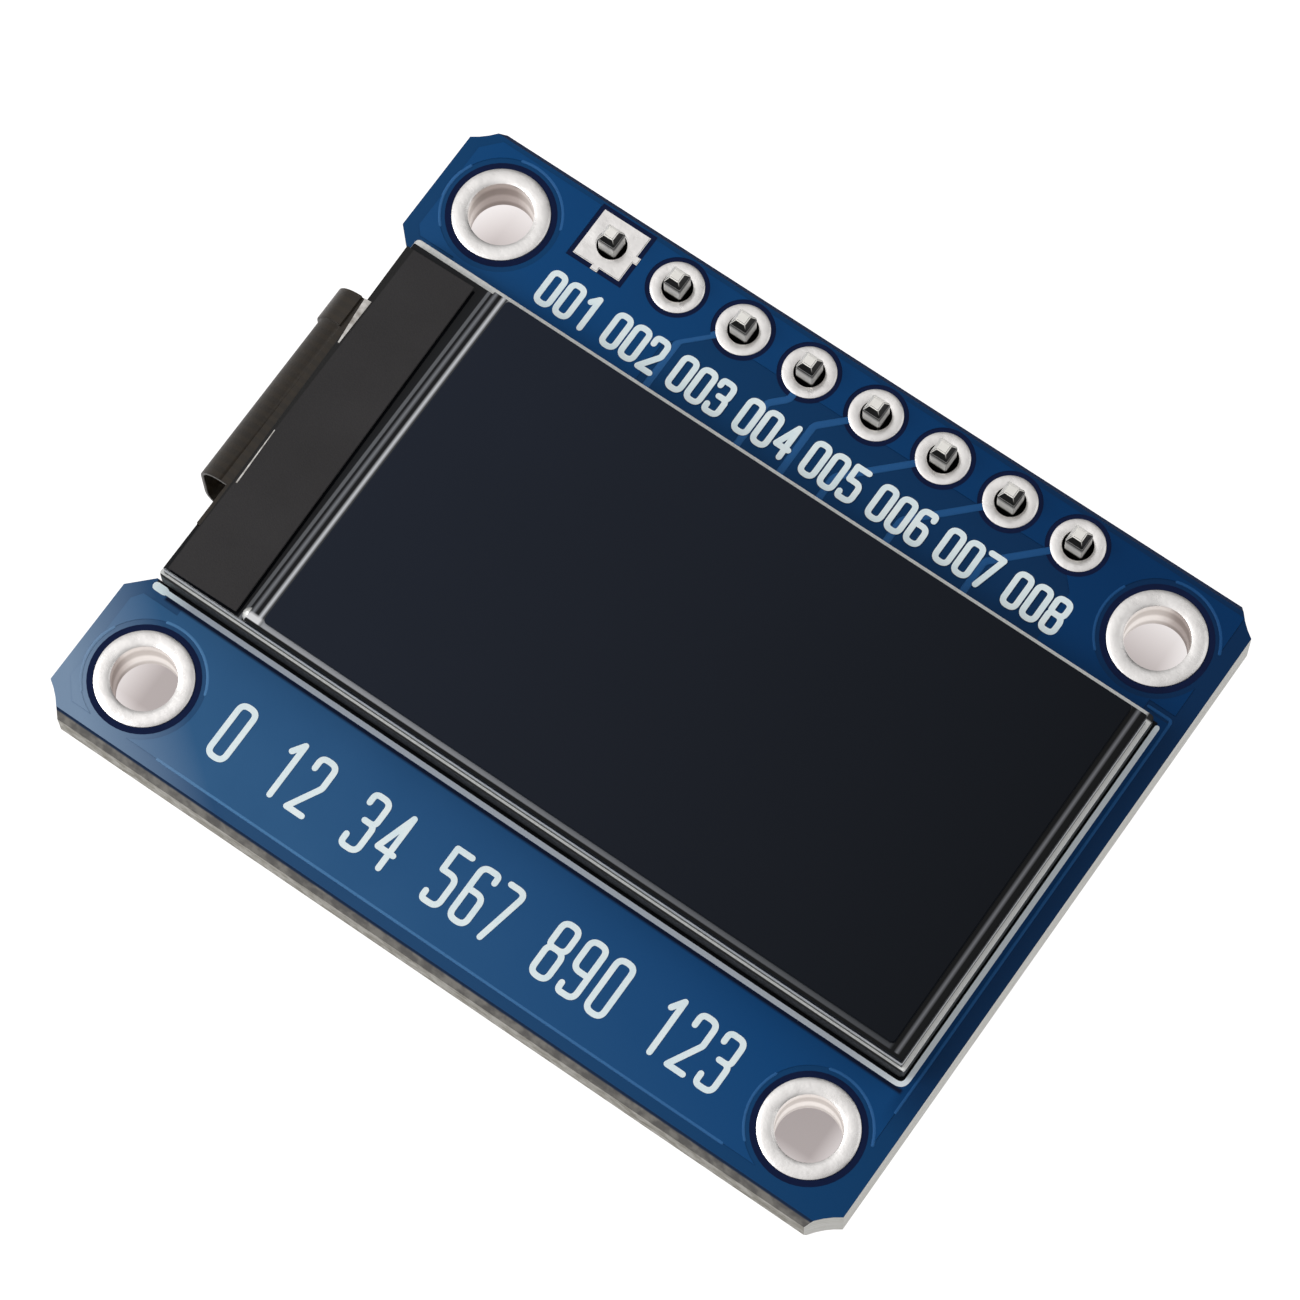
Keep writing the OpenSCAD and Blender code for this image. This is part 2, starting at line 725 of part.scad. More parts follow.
module regulator_leads() {
    color("#c9c9c4") for (x = places("v")) on_back(x) at_leads() lead();
}

module transistor_body() {
    color("#1c1c1e") for (x = places("q")) on_back(x) package_body();
}

module transistor_leads() {
    color("#c9c9c4") for (x = places("q")) on_back(x) at_leads() lead();
}

// A chip part's ceramic body, thinner by the end caps all round
module chip_body(h) {
    translate([-chip_w / 2 + cap_t, -chip_l / 2 + cap_t, cap_t])
        cube([chip_w - 2 * cap_t, chip_l - 2 * cap_t, h - 2 * cap_t]);
}

// The two metal caps that wrap a chip part's ends
module chip_caps(h) {
    difference() {
        for (side = [0, 1]) mirror([0, side, 0])
            translate([-chip_w / 2, chip_l / 2 - cap_l, 0]) cube([chip_w, cap_l, h]);
        chip_body(h);
    }
}

module capacitor_bodies() {
    color("#b48a5e") for (x = places("c")) on_back(x) chip_body(capacitor_h);
}

module capacitor_end_caps() {
    color("#d6d6d2") for (x = places("c")) on_back(x) chip_caps(capacitor_h);
}

module resistor_bodies() {
    color("#222224") for (x = places("r")) on_back(x) chip_body(resistor_h);
}

module resistor_end_caps() {
    color("#d6d6d2") for (x = places("r")) on_back(x) chip_caps(resistor_h);
}

// Lands under a chip part's two ends, or under a package's three feet
module chip_lands() {
    for (side = [0, 1]) mirror([0, side, 0])
        translate([-chip_w / 2 - land_margin, chip_l / 2 - cap_l - land_margin, -plating_t])
            cube([chip_w + 2 * land_margin, cap_l + land_margin + land_past, plating_t]);
}

module package_lands() {
    at_leads()
        translate([-lead_w / 2 - land_margin, sot_span / 2 - lead_foot - land_margin, -plating_t])
            cube([lead_w + 2 * land_margin, lead_foot + land_margin + land_past, plating_t]);
}

module component_lands() {
    color("silver")
        for (i = [0:row_last]) on_back(part_x(i))
            if (is_sot(row_kinds[i])) package_lands(); else chip_lands();
}

// Solder wedge against an upright face at y = 0, of length fillet_l and height h
module fillet_wedge(w, h) {
    hollow = 0.35;
    translate([-w / 2, 0, 0]) rotate([90, 0, 90]) linear_extrude(w)
        polygon([[0, 0], [fillet_l, 0], [hollow * fillet_l, hollow * h], [0, h]]);
}

module component_solder_joints() {
    color("#d4d6d6")
        for (i = [0:row_last]) on_back(part_x(i))
            if (is_sot(row_kinds[i]))
                at_leads() translate([0, sot_span / 2, 0]) fillet_wedge(lead_w, lead_t);
            else
                for (side = [0, 1]) mirror([0, side, 0])
                    translate([0, chip_l / 2, 0]) fillet_wedge(chip_w, fillet_h);
}

circuit_board();
mounting_hole_platings();
header_hole_platings();
header_pins();
header_insulator();
panel_adhesive_pad();
backlight_frame();
reflector_sheet();
light_guide();
diffuser_sheet();
lower_prism_sheet();
upper_prism_sheet();
backlight_leds();
led_strip();
light_shield_rim();
lower_polarizer();
tft_glass();
colour_filter_glass();
upper_polarizer();
driver_chip();
ledge_tape();
shield_paste_dot();
flex_tail();
flex_fingers();
flex_solder_pads();
flex_solder_joints();
component_lands();
regulator_body();
regulator_leads();
transistor_body();
transistor_leads();
capacitor_bodies();
capacitor_end_caps();
resistor_bodies();
resistor_end_caps();
component_solder_joints();
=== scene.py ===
import json
import math

import bmesh
import bpy
from mathutils import Matrix, Vector
from mathutils.geometry import delaunay_2d_cdt


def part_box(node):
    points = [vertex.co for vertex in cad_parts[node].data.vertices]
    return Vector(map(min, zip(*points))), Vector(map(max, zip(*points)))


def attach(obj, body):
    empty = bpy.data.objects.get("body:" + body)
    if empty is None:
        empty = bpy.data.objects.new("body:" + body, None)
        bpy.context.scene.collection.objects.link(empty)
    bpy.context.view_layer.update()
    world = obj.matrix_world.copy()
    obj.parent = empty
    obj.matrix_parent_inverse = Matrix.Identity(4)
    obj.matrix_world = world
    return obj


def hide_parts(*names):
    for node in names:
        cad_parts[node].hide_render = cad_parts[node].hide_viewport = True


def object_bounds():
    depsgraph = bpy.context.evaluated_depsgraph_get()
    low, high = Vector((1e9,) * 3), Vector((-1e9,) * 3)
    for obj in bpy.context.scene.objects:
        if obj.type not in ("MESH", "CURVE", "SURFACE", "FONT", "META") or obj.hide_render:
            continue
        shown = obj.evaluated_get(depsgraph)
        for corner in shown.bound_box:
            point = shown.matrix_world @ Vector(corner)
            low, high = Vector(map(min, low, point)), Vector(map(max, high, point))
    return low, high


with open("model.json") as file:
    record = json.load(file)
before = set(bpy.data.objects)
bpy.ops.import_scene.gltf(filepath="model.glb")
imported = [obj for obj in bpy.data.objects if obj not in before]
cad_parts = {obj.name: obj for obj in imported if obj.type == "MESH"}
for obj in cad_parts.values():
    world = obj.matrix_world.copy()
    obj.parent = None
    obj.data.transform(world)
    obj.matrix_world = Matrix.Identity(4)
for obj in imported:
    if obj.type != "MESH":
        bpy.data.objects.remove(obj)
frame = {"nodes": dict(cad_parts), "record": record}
cad_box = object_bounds()
scene = bpy.context.scene
scene.view_settings.view_transform = "Standard"

# Camera
# It stands high above the lower right of the board, a long way off for the object's size,
# and is rolled so that the board lies across the picture from upper left to lower right.
MM = 0.001
PICTURE_WIDE = 1300
FOCAL_PIXELS = 5578.8
SENSOR_MM = 36.0
CLIP_START, CLIP_END = 5 * MM, 20.0
CAMERA_PLACE = Vector((34.01, -44.08, 165.18))
camera_right = Vector((0.81798, 0.57504, -0.01523))
camera_down = Vector((0.54018, -0.77695, -0.32336))
camera_ahead = camera_right.cross(camera_down)
camera_data = bpy.data.cameras.new("photo_camera")
camera_data.sensor_width = SENSOR_MM
camera_data.lens = FOCAL_PIXELS / PICTURE_WIDE * SENSOR_MM
camera_data.clip_start = CLIP_START
camera_data.clip_end = CLIP_END
camera = bpy.data.objects.new("photo_camera", camera_data)
camera_turn = Matrix((camera_right, -camera_down, -camera_ahead)).transposed().to_4x4()
camera.matrix_world = Matrix.Translation(CAMERA_PLACE * MM) @ camera_turn
scene.collection.objects.link(camera)
scene.camera = camera

# Studio
# A plain pale floor under the pins, a white surround that polished faces mirror as bright at the
# lower left and all round the horizon, and two large soft lamps, the stronger one at the lower left.
# Under the board, where its holes look down on it, the floor's glow is turned down and tinted warm, a
# painted shadow; the floor is clear from below.
WHITE = (1.0, 1.0, 1.0, 1.0)
SURROUND_LEVEL = 0.45
BRIGHT_SIDE = {"way": (-0.55, -0.30, 0.78), "far": 0.16, "near": 1.0, "dim": 0.05, "bright": 1.3}
BRIGHT_PATCH = {"way": (-0.36, 0.17, 0.92), "far": 0.955, "near": 1.0, "dim": 0.0, "bright": 0.35}
BRIGHT_HORIZON = {"way": (0, 0, 1), "far": 0.4, "near": 0.1, "dim": 0.0, "bright": 0.55}
FLOOR_HALF = 0.6
FLOOR_PALE = (0.8, 0.8, 0.8, 1)
FLOOR_GLOW = 1.0
FLOOR_GLOW_IN_PAINTED_SHADOW = 0.34
FLOOR_SHADED = 0.2
PAINTED_SHADOW_TINT = Vector((1.0, 0.885, 0.865))
PAINTED_SHADOW_LOW = Vector((-17.2, -9.6))
PAINTED_SHADOW_HIGH = Vector((13.2, 14.8))
PAINTED_SHADOW_SOFT_LOW = Vector((2.2, 1.5))
PAINTED_SHADOW_SOFT_HIGH = Vector((1.5, 3.5))


def feed(tree, socket, value):
    """Links a socket to another, or sets it to a plain value."""
    if isinstance(value, bpy.types.NodeSocket):
        tree.links.new(value, socket)
    else:
        socket.default_value = value


def put(tree, kind, inputs=None, **settings):
    """Adds a node with its settings and its named inputs."""
    node = tree.nodes.new(kind)
    for name, value in settings.items():
        setattr(node, name, value)
    for name, value in (inputs or {}).items():
        feed(tree, node.inputs[name], value)
    return node


def emptied(owner):
    """The node tree of a world or a material, with nothing in it."""
    owner.use_nodes = True
    owner.node_tree.nodes.clear()
    return owner.node_tree


def sum_of(tree, operation, first, second=0.0):
    """A sum on one or two values."""
    node = put(tree, "ShaderNodeMath", operation=operation)
    feed(tree, node.inputs[0], first)
    feed(tree, node.inputs[1], second)
    return node.outputs[0]


def product(tree, first, *others):
    """All the values, multiplied."""
    for other in others:
        first = sum_of(tree, "MULTIPLY", first, other)
    return first


def remap(tree, value, low, high, to_low=0.0, to_high=1.0):
    """Takes a value from one range to another and keeps it there."""
    ranges = {"From Min": low, "From Max": high, "To Min": to_low, "To Max": to_high}
    return put(tree, "ShaderNodeMapRange", {"Value": value, **ranges}).outputs[0]


def tone(code):
    """The linear colour of a six-figure screen colour."""
    parts = [int(code[i:i + 2], 16) / 255 for i in (0, 2, 4)]
    linear = [p / 12.92 if p <= 0.04045 else ((p + 0.055) / 1.055) ** 2.4 for p in parts]
    return (*linear, 1.0)


def blend(tree, factor, first, second):
    """Colour between two colours, each a screen colour's six figures, a linear colour or a socket."""
    node = put(tree, "ShaderNodeMix", data_type="RGBA")
    feed(tree, node.inputs[0], factor)
    for place, colour in ((6, first), (7, second)):
        feed(tree, node.inputs[place], tone(colour) if isinstance(colour, str) else colour)
    return node.outputs[2]


def mix_shaders(tree, factor, first, second):
    """One shader or the other, as the factor says."""
    node = put(tree, "ShaderNodeMixShader")
    feed(tree, node.inputs[0], factor)
    feed(tree, node.inputs[1], first.outputs[0])
    feed(tree, node.inputs[2], second.outputs[0])
    return node


def seen_directly(tree):
    """One for the rays of the lens, of mirrors and of clear material, nought for the rest."""
    path = put(tree, "ShaderNodeLightPath").outputs
    mirrored = sum_of(tree, "MAXIMUM", path["Is Glossy Ray"], path["Is Transmission Ray"])
    return sum_of(tree, "MAXIMUM", path["Is Camera Ray"], mirrored)


def brightness(tree, way, far, near, dim, bright):
    """The level of a part of the surround that lies about the given way."""
    node = put(tree, "ShaderNodeVectorMath", operation="DOT_PRODUCT")
    feed(tree, node.inputs[0], put(tree, "ShaderNodeTexCoord").outputs["Generated"])
    node.inputs[1].default_value = Vector(way).normalized()
    return remap(tree, node.outputs["Value"], far, near, dim, bright)


world = bpy.data.worlds.new("studio_surround")
scene.world = world
world_tree = emptied(world)
side_level, patch_level, horizon_level = (
    brightness(world_tree, **part) for part in (BRIGHT_SIDE, BRIGHT_PATCH, BRIGHT_HORIZON))
mirrored_level = sum_of(world_tree, "ADD", side_level, patch_level)
mirrored_level = sum_of(world_tree, "MAXIMUM", horizon_level, mirrored_level)
mirrored_ray = put(world_tree, "ShaderNodeLightPath").outputs["Is Glossy Ray"]
surround_plain, surround_white, surround_mirrored = (
    put(world_tree, "ShaderNodeBackground", {"Color": WHITE, "Strength": level})
    for level in (SURROUND_LEVEL, 1.0, mirrored_level))
surround_seen = mix_shaders(world_tree, mirrored_ray, surround_white, surround_mirrored)
surround = mix_shaders(world_tree, seen_directly(world_tree), surround_plain, surround_seen)
put(world_tree, "ShaderNodeOutputWorld", {"Surface": surround.outputs[0]})

floor_finish = bpy.data.materials.new("studio_floor")
floor_tree = emptied(floor_finish)
floor_place = put(floor_tree, "ShaderNodeTexCoord").outputs["Object"]
floor_parts = put(floor_tree, "ShaderNodeSeparateXYZ", {"Vector": floor_place})
# Painted shadow: the floor's glow is turned down and tinted inside a soft rectangle under the board.
under = 1.0
for i, axis in enumerate("XY"):
    low_full, high_full = PAINTED_SHADOW_LOW[i] + PAINTED_SHADOW_SOFT_LOW[i], PAINTED_SHADOW_HIGH[i] - PAINTED_SHADOW_SOFT_HIGH[i]
    for edge, full in ((PAINTED_SHADOW_LOW[i], low_full), (PAINTED_SHADOW_HIGH[i], high_full)):
        inside = remap(floor_tree, floor_parts.outputs[axis], edge * MM, full * MM)
        under = product(floor_tree, inside, under)
floor_glow = put(floor_tree, "ShaderNodeEmission", {
    "Color": blend(floor_tree, under, WHITE, (*PAINTED_SHADOW_TINT, 1)),
    "Strength": remap(floor_tree, under, 0.0, 1.0, FLOOR_GLOW, FLOOR_GLOW_IN_PAINTED_SHADOW)})
floor_body = put(floor_tree, "ShaderNodeBsdfDiffuse", {"Color": FLOOR_PALE})
floor_shade = put(floor_tree, "ShaderNodeBsdfDiffuse", {"Color": (*PAINTED_SHADOW_TINT * FLOOR_SHADED, 1)})
floor_white = put(floor_tree, "ShaderNodeAddShader")
feed(floor_tree, floor_white.inputs[0], floor_shade.outputs[0])
feed(floor_tree, floor_white.inputs[1], floor_glow.outputs[0])
floor_seen = mix_shaders(floor_tree, seen_directly(floor_tree), floor_body, floor_white)
floor_below = put(floor_tree, "ShaderNodeNewGeometry").outputs["Backfacing"]
floor_clear = put(floor_tree, "ShaderNodeBsdfTransparent")
floor_whole = mix_shaders(floor_tree, floor_below, floor_seen, floor_clear)
put(floor_tree, "ShaderNodeOutputMaterial", {"Surface": floor_whole.outputs[0]})
floor_mesh = bpy.data.meshes.new("studio_floor")
floor_corners = [(x * FLOOR_HALF, y * FLOOR_HALF, cad_box[0].z)
                 for x, y in ((-1, -1), (1, -1), (1, 1), (-1, 1))]
floor_mesh.from_pydata(floor_corners, [], [(0, 1, 2, 3)])
floor_mesh.materials.append(floor_finish)
floor = bpy.data.objects.new("studio_floor", floor_mesh)
scene.collection.objects.link(floor)


def soft_lamp(name, place, side, watts):
    """A square soft box that looks at the middle of the object. Metres."""
    data = bpy.data.lights.new(name, "AREA")
    data.shape = "SQUARE"
    data.size = side
    data.energy = watts
    lamp = bpy.data.objects.new(name, data)
    turn = Vector(place).to_track_quat("Z", "Y").to_matrix().to_4x4()
    lamp.matrix_world = Matrix.Translation(place) @ turn
    scene.collection.objects.link(lamp)


soft_lamp("key_box", place=(-0.095, -0.06, 0.115), side=0.09, watts=0.105)
soft_lamp("fill_box", place=(0.14, 0.16, 0.22), side=0.20, watts=0.11)

# Circuit board
# A glass-epoxy board, routed to shape, with a blue solder mask screened over its copper, darker to the
# upper right and the right by painted shade. Over copper the blue is lighter, and palest on the copper's
# edges, where pale lines are painted highlights.
board_low, board_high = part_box("circuit_board")
front_level, back_level = board_high.z / MM, board_low.z / MM
panel_low, panel_high = (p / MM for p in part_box("backlight_frame"))
NOISE_SPREAD = (0.3, 0.7)
SIDE_FACES, TOP_FACES = (0.85, 0.6), (0.6, 0.85)
MASK_TONES, MASK_TONES_SHADED = ("2a4f77", "2d527a"), ("10416f", "092e55")
COPPER_TONES, COPPER_TONES_SHADED = ("335f8a", "37638e"), ("11487d", "033463")
EDGE_TONES, EDGE_TONES_SHADED = ("5080ae", "5484b2"), ("2f639a", "1f5084")
MASK_SHEEN = 0.07
MASK_COAT = {"grain": 0.12, "rough": (0.30, 0.42), "depth": 0.0012, "specular": MASK_SHEEN}
MASK_TURN = 0.8
GLARE_TONE, GLARE_SPREAD, GLARE_MOST = "8299b4", (-0.76, -0.93), 0.95
PANEL_SHADOW_SOFT, PANEL_SHADOW_DARK = 0.25, 0.85
PANEL_SHADOW_STARTS, PANEL_SHADOW_FULL = 1.6, 0.1
DARK_BAND_TONE, DARK_BAND_SOFT = "06122c", 0.09
DARK_BAND_LEFT, DARK_BAND_RIGHT, DARK_BAND_LOW, DARK_BAND_HIGH = 0.4, 0.25, 0.45, 0.2
CONTACT_SHADOW_TONE, CONTACT_SHADOW_WIDE, CONTACT_SHADOW_SOFT = "040506", 0.11, 0.03


def make_group(name, kind, inputs, outputs):
    """An empty node group with named sockets: the group, what goes into it and what comes out."""
    tree = bpy.data.node_groups.new(name, kind)
    for in_out, sockets in (("INPUT", inputs), ("OUTPUT", outputs)):
        for label, sort in sockets.items():
            tree.interface.new_socket(label, in_out=in_out, socket_type="NodeSocket" + sort)
    start, end = tree.nodes.new("NodeGroupInput"), tree.nodes.new("NodeGroupOutput")
    return tree, start.outputs, end.inputs


def make_surface_marks():
    """Soft spots and fine grain, as every moulded, plated or printed surface has them."""
    tree, start, end = make_group(
        "surface_marks", "ShaderNodeTree",
        {"Spots per Metre": "Float", "Grains per Metre": "Float"}, {"Spots": "Float", "Grain": "Float"})
    place = put(tree, "ShaderNodeTexCoord").outputs["Object"]
    for source, result, detail in (("Spots per Metre", "Spots", 3.0), ("Grains per Metre", "Grain", 5.0)):
        noise = put(tree, "ShaderNodeTexNoise", {"Vector": place, "Scale": start[source], "Detail": detail})
        feed(tree, end[result], remap(tree, noise.outputs[0], *NOISE_SPREAD))
    return tree


surface_marks = make_surface_marks()


def shader_of(tree):
    """The inputs of a finish's shader."""
    return tree.nodes["Principled BSDF"].inputs


def grain_of(tree):
    """The fine grain of a finish."""
    return tree.nodes["marks"].outputs["Grain"]


def finish(name, tones, spot, grain, rough, depth=0.0, metallic=0.0, specular=0.5):
    """A surface of two close tones, whose sheen and relief vary with its grain. Millimetres."""
    material = bpy.data.materials.new(name)
    material.use_nodes = True
    tree = material.node_tree
    shader = shader_of(tree)
    shader["Metallic"].default_value = metallic
    shader["Specular IOR Level"].default_value = specular
    scales = {"Spots per Metre": 1 / (spot * MM), "Grains per Metre": 1 / (grain * MM)}
    marks = put(tree, "ShaderNodeGroup", scales, node_tree=surface_marks, name="marks")
    feed(tree, shader["Base Color"], blend(tree, marks.outputs["Spots"], *tones))
    feed(tree, shader["Roughness"], remap(tree, grain_of(tree), 0, 1, *rough))
    if depth:
        relief = {"Height": grain_of(tree), "Distance": depth * MM, "Strength": 1.0}
        feed(tree, shader["Normal"], put(tree, "ShaderNodeBump", relief).outputs[0])
    return material


def repaint(tree, factor, colour):
    """Lays a colour over what the surface has so far, where the factor says."""
    base = shader_of(tree)["Base Color"]
    feed(tree, base, blend(tree, factor, base.links[0].from_socket, colour))


def rougher(tree, level):
    """Keeps the surface at least as rough as the level says."""
    rough = shader_of(tree)["Roughness"]
    feed(tree, rough, sum_of(tree, "MAXIMUM", rough.links[0].from_socket, level))


def looks_along(tree):
    """The parts of a face's direction."""
    normal = put(tree, "ShaderNodeNewGeometry").outputs["Normal"]
    return put(tree, "ShaderNodeSeparateXYZ", {"Vector": normal}).outputs


def facing(tree, axis, none, full):
    """Nought to one by how far a face looks along an axis, either way."""
    return remap(tree, sum_of(tree, "ABSOLUTE", looks_along(tree)[axis]), none, full)


def along(tree, axis):
    """The place along an axis, in metres."""
    place = put(tree, "ShaderNodeTexCoord").outputs["Object"]
    return put(tree, "ShaderNodeSeparateXYZ", {"Vector": place}).outputs[axis]


def past(tree, axis, none, full, least=0.0, most=1.0):
    """The least before one place along an axis, the most past another. Millimetres."""
    return remap(tree, along(tree, axis), none * MM, full * MM, least, most)


def close_to(tree, axis, place, none, full):
    """One close to a place along an axis, nought further off. Millimetres."""
    off = sum_of(tree, "ABSOLUTE", sum_of(tree, "SUBTRACT", along(tree, axis), place * MM))
    return remap(tree, off, none * MM, full * MM)


def front_field(tree, low, high, soft):
    """One inside a rectangle on the board's front, nought outside, with a soft border. Millimetres."""
    here = past(tree, "Z", 0.0, front_level)
    for i, axis in enumerate("XY"):
        middle, half = (low[i] + high[i]) / 2, (high[i] - low[i]) / 2
        here = product(tree, here, close_to(tree, axis, middle, half, half - soft))
    return here


def shade_mask(tree, shaded_tones):
    """Painted light and shade on the mask: a painted glare at the lower left corner, painted shade
    darkening it towards the upper right and the right, a painted shadow beside the panel's right side and
    round its foot, and a dark band below the panel's line.
    """
    size = board_high - board_low
    across = sum_of(tree, "DIVIDE", along(tree, "X"), size.x)
    up = sum_of(tree, "DIVIDE", along(tree, "Y"), size.y)
    place = sum_of(tree, "ADD", across, up)
    # Painted shade: the mask darkens towards the upper right.
    repaint(tree, remap(tree, place, -MASK_TURN, 0.0), shaded_tones[0])
    repaint(tree, remap(tree, place, 0.0, MASK_TURN), shaded_tones[1])
    # A painted shadow of the panel on the strip of mask to its right.
    panel_shadow_x = past(tree, "X", panel_high.x, panel_high.x + PANEL_SHADOW_SOFT, 0.0, PANEL_SHADOW_DARK)
    panel_shadow_y = past(tree, "Y", panel_low.y - PANEL_SHADOW_STARTS, panel_low.y - PANEL_SHADOW_FULL)
    repaint(tree, product(tree, panel_shadow_x, panel_shadow_y), shaded_tones[1])
    # A painted glare on the lower left corner.
    repaint(tree, remap(tree, place, *GLARE_SPREAD, 0.0, GLARE_MOST), GLARE_TONE)
    # A dark band painted on the board just below the panel's printed line.
    dark_band_low = (panel_low.x + DARK_BAND_LEFT, panel_low.y - DARK_BAND_LOW)
    dark_band_high = (panel_high.x + DARK_BAND_RIGHT, panel_low.y - DARK_BAND_HIGH)
    repaint(tree, front_field(tree, dark_band_low, dark_band_high, DARK_BAND_SOFT), DARK_BAND_TONE)
    # A painted contact shadow in a thin rim round the panel's foot.
    contact_shadow_low = [panel_low[i] - CONTACT_SHADOW_WIDE for i in range(2)]
    contact_shadow_high = [panel_high[i] + CONTACT_SHADOW_WIDE for i in range(2)]
    repaint(tree, front_field(tree, contact_shadow_low, contact_shadow_high, CONTACT_SHADOW_SOFT), CONTACT_SHADOW_TONE)


PLY_STRETCH = (0.25, 0.25, 5.0)
CLOTH_PER_METRE, SAWN_PER_METRE = 2600.0, 2400.0
SAWN_SPREAD, RESIN_SPREAD, MILLED_SPREAD = (0.42, 0.62), (0.35, 0.65), (0.4, 0.6)
ROUTED_FACES, SCORED_FACES = (0.3, 0.6), (0.2, 0.4)
RESIN_TONES, TORN_TONE = ("98948b", "bdb9b0"), "cac7c0"
MILLED_TONES, SCORED_TONES = ("eae8e1", "f8f7f3"), ("6b6967", "8a8782")
LIP_TONE, LIP_DEPTH, LIP_SOFT = "1c2f4c", 0.14, 0.06
UPPER_EDGE_SHADE_TONE, UPPER_EDGE_SHADE_SOFT = "12284a", 0.1
CUT_ROUGH = 0.85
SOLID_SHARP = math.radians(25)


def make_board_finish():
    """Blue mask on both faces, bare glass cloth and resin on every cut side, dim where it was scored."""
    material = finish("board_mask", MASK_TONES, spot=2.2, **MASK_COAT)
    tree = material.node_tree
    shade_mask(tree, MASK_TONES_SHADED)
    place = put(tree, "ShaderNodeTexCoord").outputs["Object"]
    plies = put(tree, "ShaderNodeMapping", {"Vector": place, "Scale": PLY_STRETCH}).outputs[0]
    cloth, sawn = (
        put(tree, "ShaderNodeTexNoise", {"Vector": where, "Scale": scale, "Detail": detail}).outputs[0]
        for where, scale, detail in ((plies, CLOTH_PER_METRE, 6.0), (place, SAWN_PER_METRE, 4.0)))
    patchy = remap(tree, sawn, *SAWN_SPREAD)
    resin = blend(tree, remap(tree, cloth, *RESIN_SPREAD), *RESIN_TONES)
    torn = blend(tree, patchy, resin, TORN_TONE)
    milled = blend(tree, remap(tree, cloth, *MILLED_SPREAD), *MILLED_TONES)
    cut = blend(tree, facing(tree, "X", *ROUTED_FACES), torn, milled)
    scored = facing(tree, "Z", *SCORED_FACES)
    cut = blend(tree, scored, cut, blend(tree, patchy, *SCORED_TONES))
    lip = past(tree, "Z", front_level - LIP_DEPTH, front_level - LIP_DEPTH + LIP_SOFT)
    cut = blend(tree, product(tree, scored, lip), cut, LIP_TONE)
    # Painted shade: the scored faces along the upper edge are painted dark.
    upper_edge_shade = past(tree, "Y", 0.0, UPPER_EDGE_SHADE_SOFT)
    cut = blend(tree, product(tree, scored, upper_edge_shade), cut, UPPER_EDGE_SHADE_TONE)
    side = facing(tree, "Z", *SIDE_FACES)
    repaint(tree, side, cut)
    rougher(tree, product(tree, side, CUT_ROUGH))
    return material


def dress(material, *nodes):
    """Gives CAD solids their finish, with round stretches shaded smooth."""
    for node in nodes:
        mesh = frame["nodes"][node].data
        mesh.materials.clear()
        mesh.materials.append(material)
        mesh.shade_smooth()
        mesh.set_sharp_from_angle(angle=SOLID_SHARP)


dress(make_board_finish(), "circuit_board")


def make_copper_mask(name, tones, shaded_tones):
    """The same mask where it lies over copper."""
    material = finish(name, tones, spot=2.6, **MASK_COAT)
    shade_mask(material.node_tree, shaded_tones)
    return material


copper_mask = make_copper_mask("mask_over_copper", COPPER_TONES, COPPER_TONES_SHADED)
# The pale mask over traces and vias, which also makes the painted highlights on the copper's edges.
edge_mask_and_highlight = make_copper_mask("mask_over_edges", EDGE_TONES, EDGE_TONES_SHADED)
ROUND_STEPS = 48


def disc(x, y, radius, steps=ROUND_STEPS):
    """A round outline, counter-clockwise."""
    turns = [2 * math.pi * i / steps for i in range(steps)]
    return [(x + radius * math.cos(a), y + radius * math.sin(a)) for a in turns]


def arc(x, y, radius, start, end, steps=16):
    """Points on part of a circle, between two angles in degrees."""
    turns = [math.radians(start + (end - start) * i / steps) for i in range(steps + 1)]
    return [(x + radius * math.cos(a), y + radius * math.sin(a)) for a in turns]


def oblong(x0, y0, x1, y1):
    """A rectangular outline, counter-clockwise."""
    return [(x0, y0), (x1, y0), (x1, y1), (x0, y1)]


def around(x, y, half):
    """A square outline about a middle."""
    return oblong(x - half, y - half, x + half, y + half)


def channels(routes, half):
    """Outlines that clear a strip on both sides of each route."""
    made = []
    for route in routes:
        for a, b in zip(route, route[1:]):
            run = (Vector(b) - Vector(a)).normalized() * half
            side = Vector((-run.y, run.x))
            a, b = Vector(a) - run, Vector(b) + run
            made.append([tuple(a - side), tuple(b - side), tuple(b + side), tuple(a + side)])
    return made


def show(name, mesh, material=None):
    """Puts a finished mesh in the scene as a piece of the object."""
    if material is not None:
        mesh.materials.clear()
        mesh.materials.append(material)
    piece = bpy.data.objects.new(name, mesh)
    scene.collection.objects.link(piece)
    return piece


def settled(shape, name):
    """A worked shape as a mesh."""
    mesh = bpy.data.meshes.new(name)
    shape.to_mesh(mesh)
    shape.free()
    return mesh


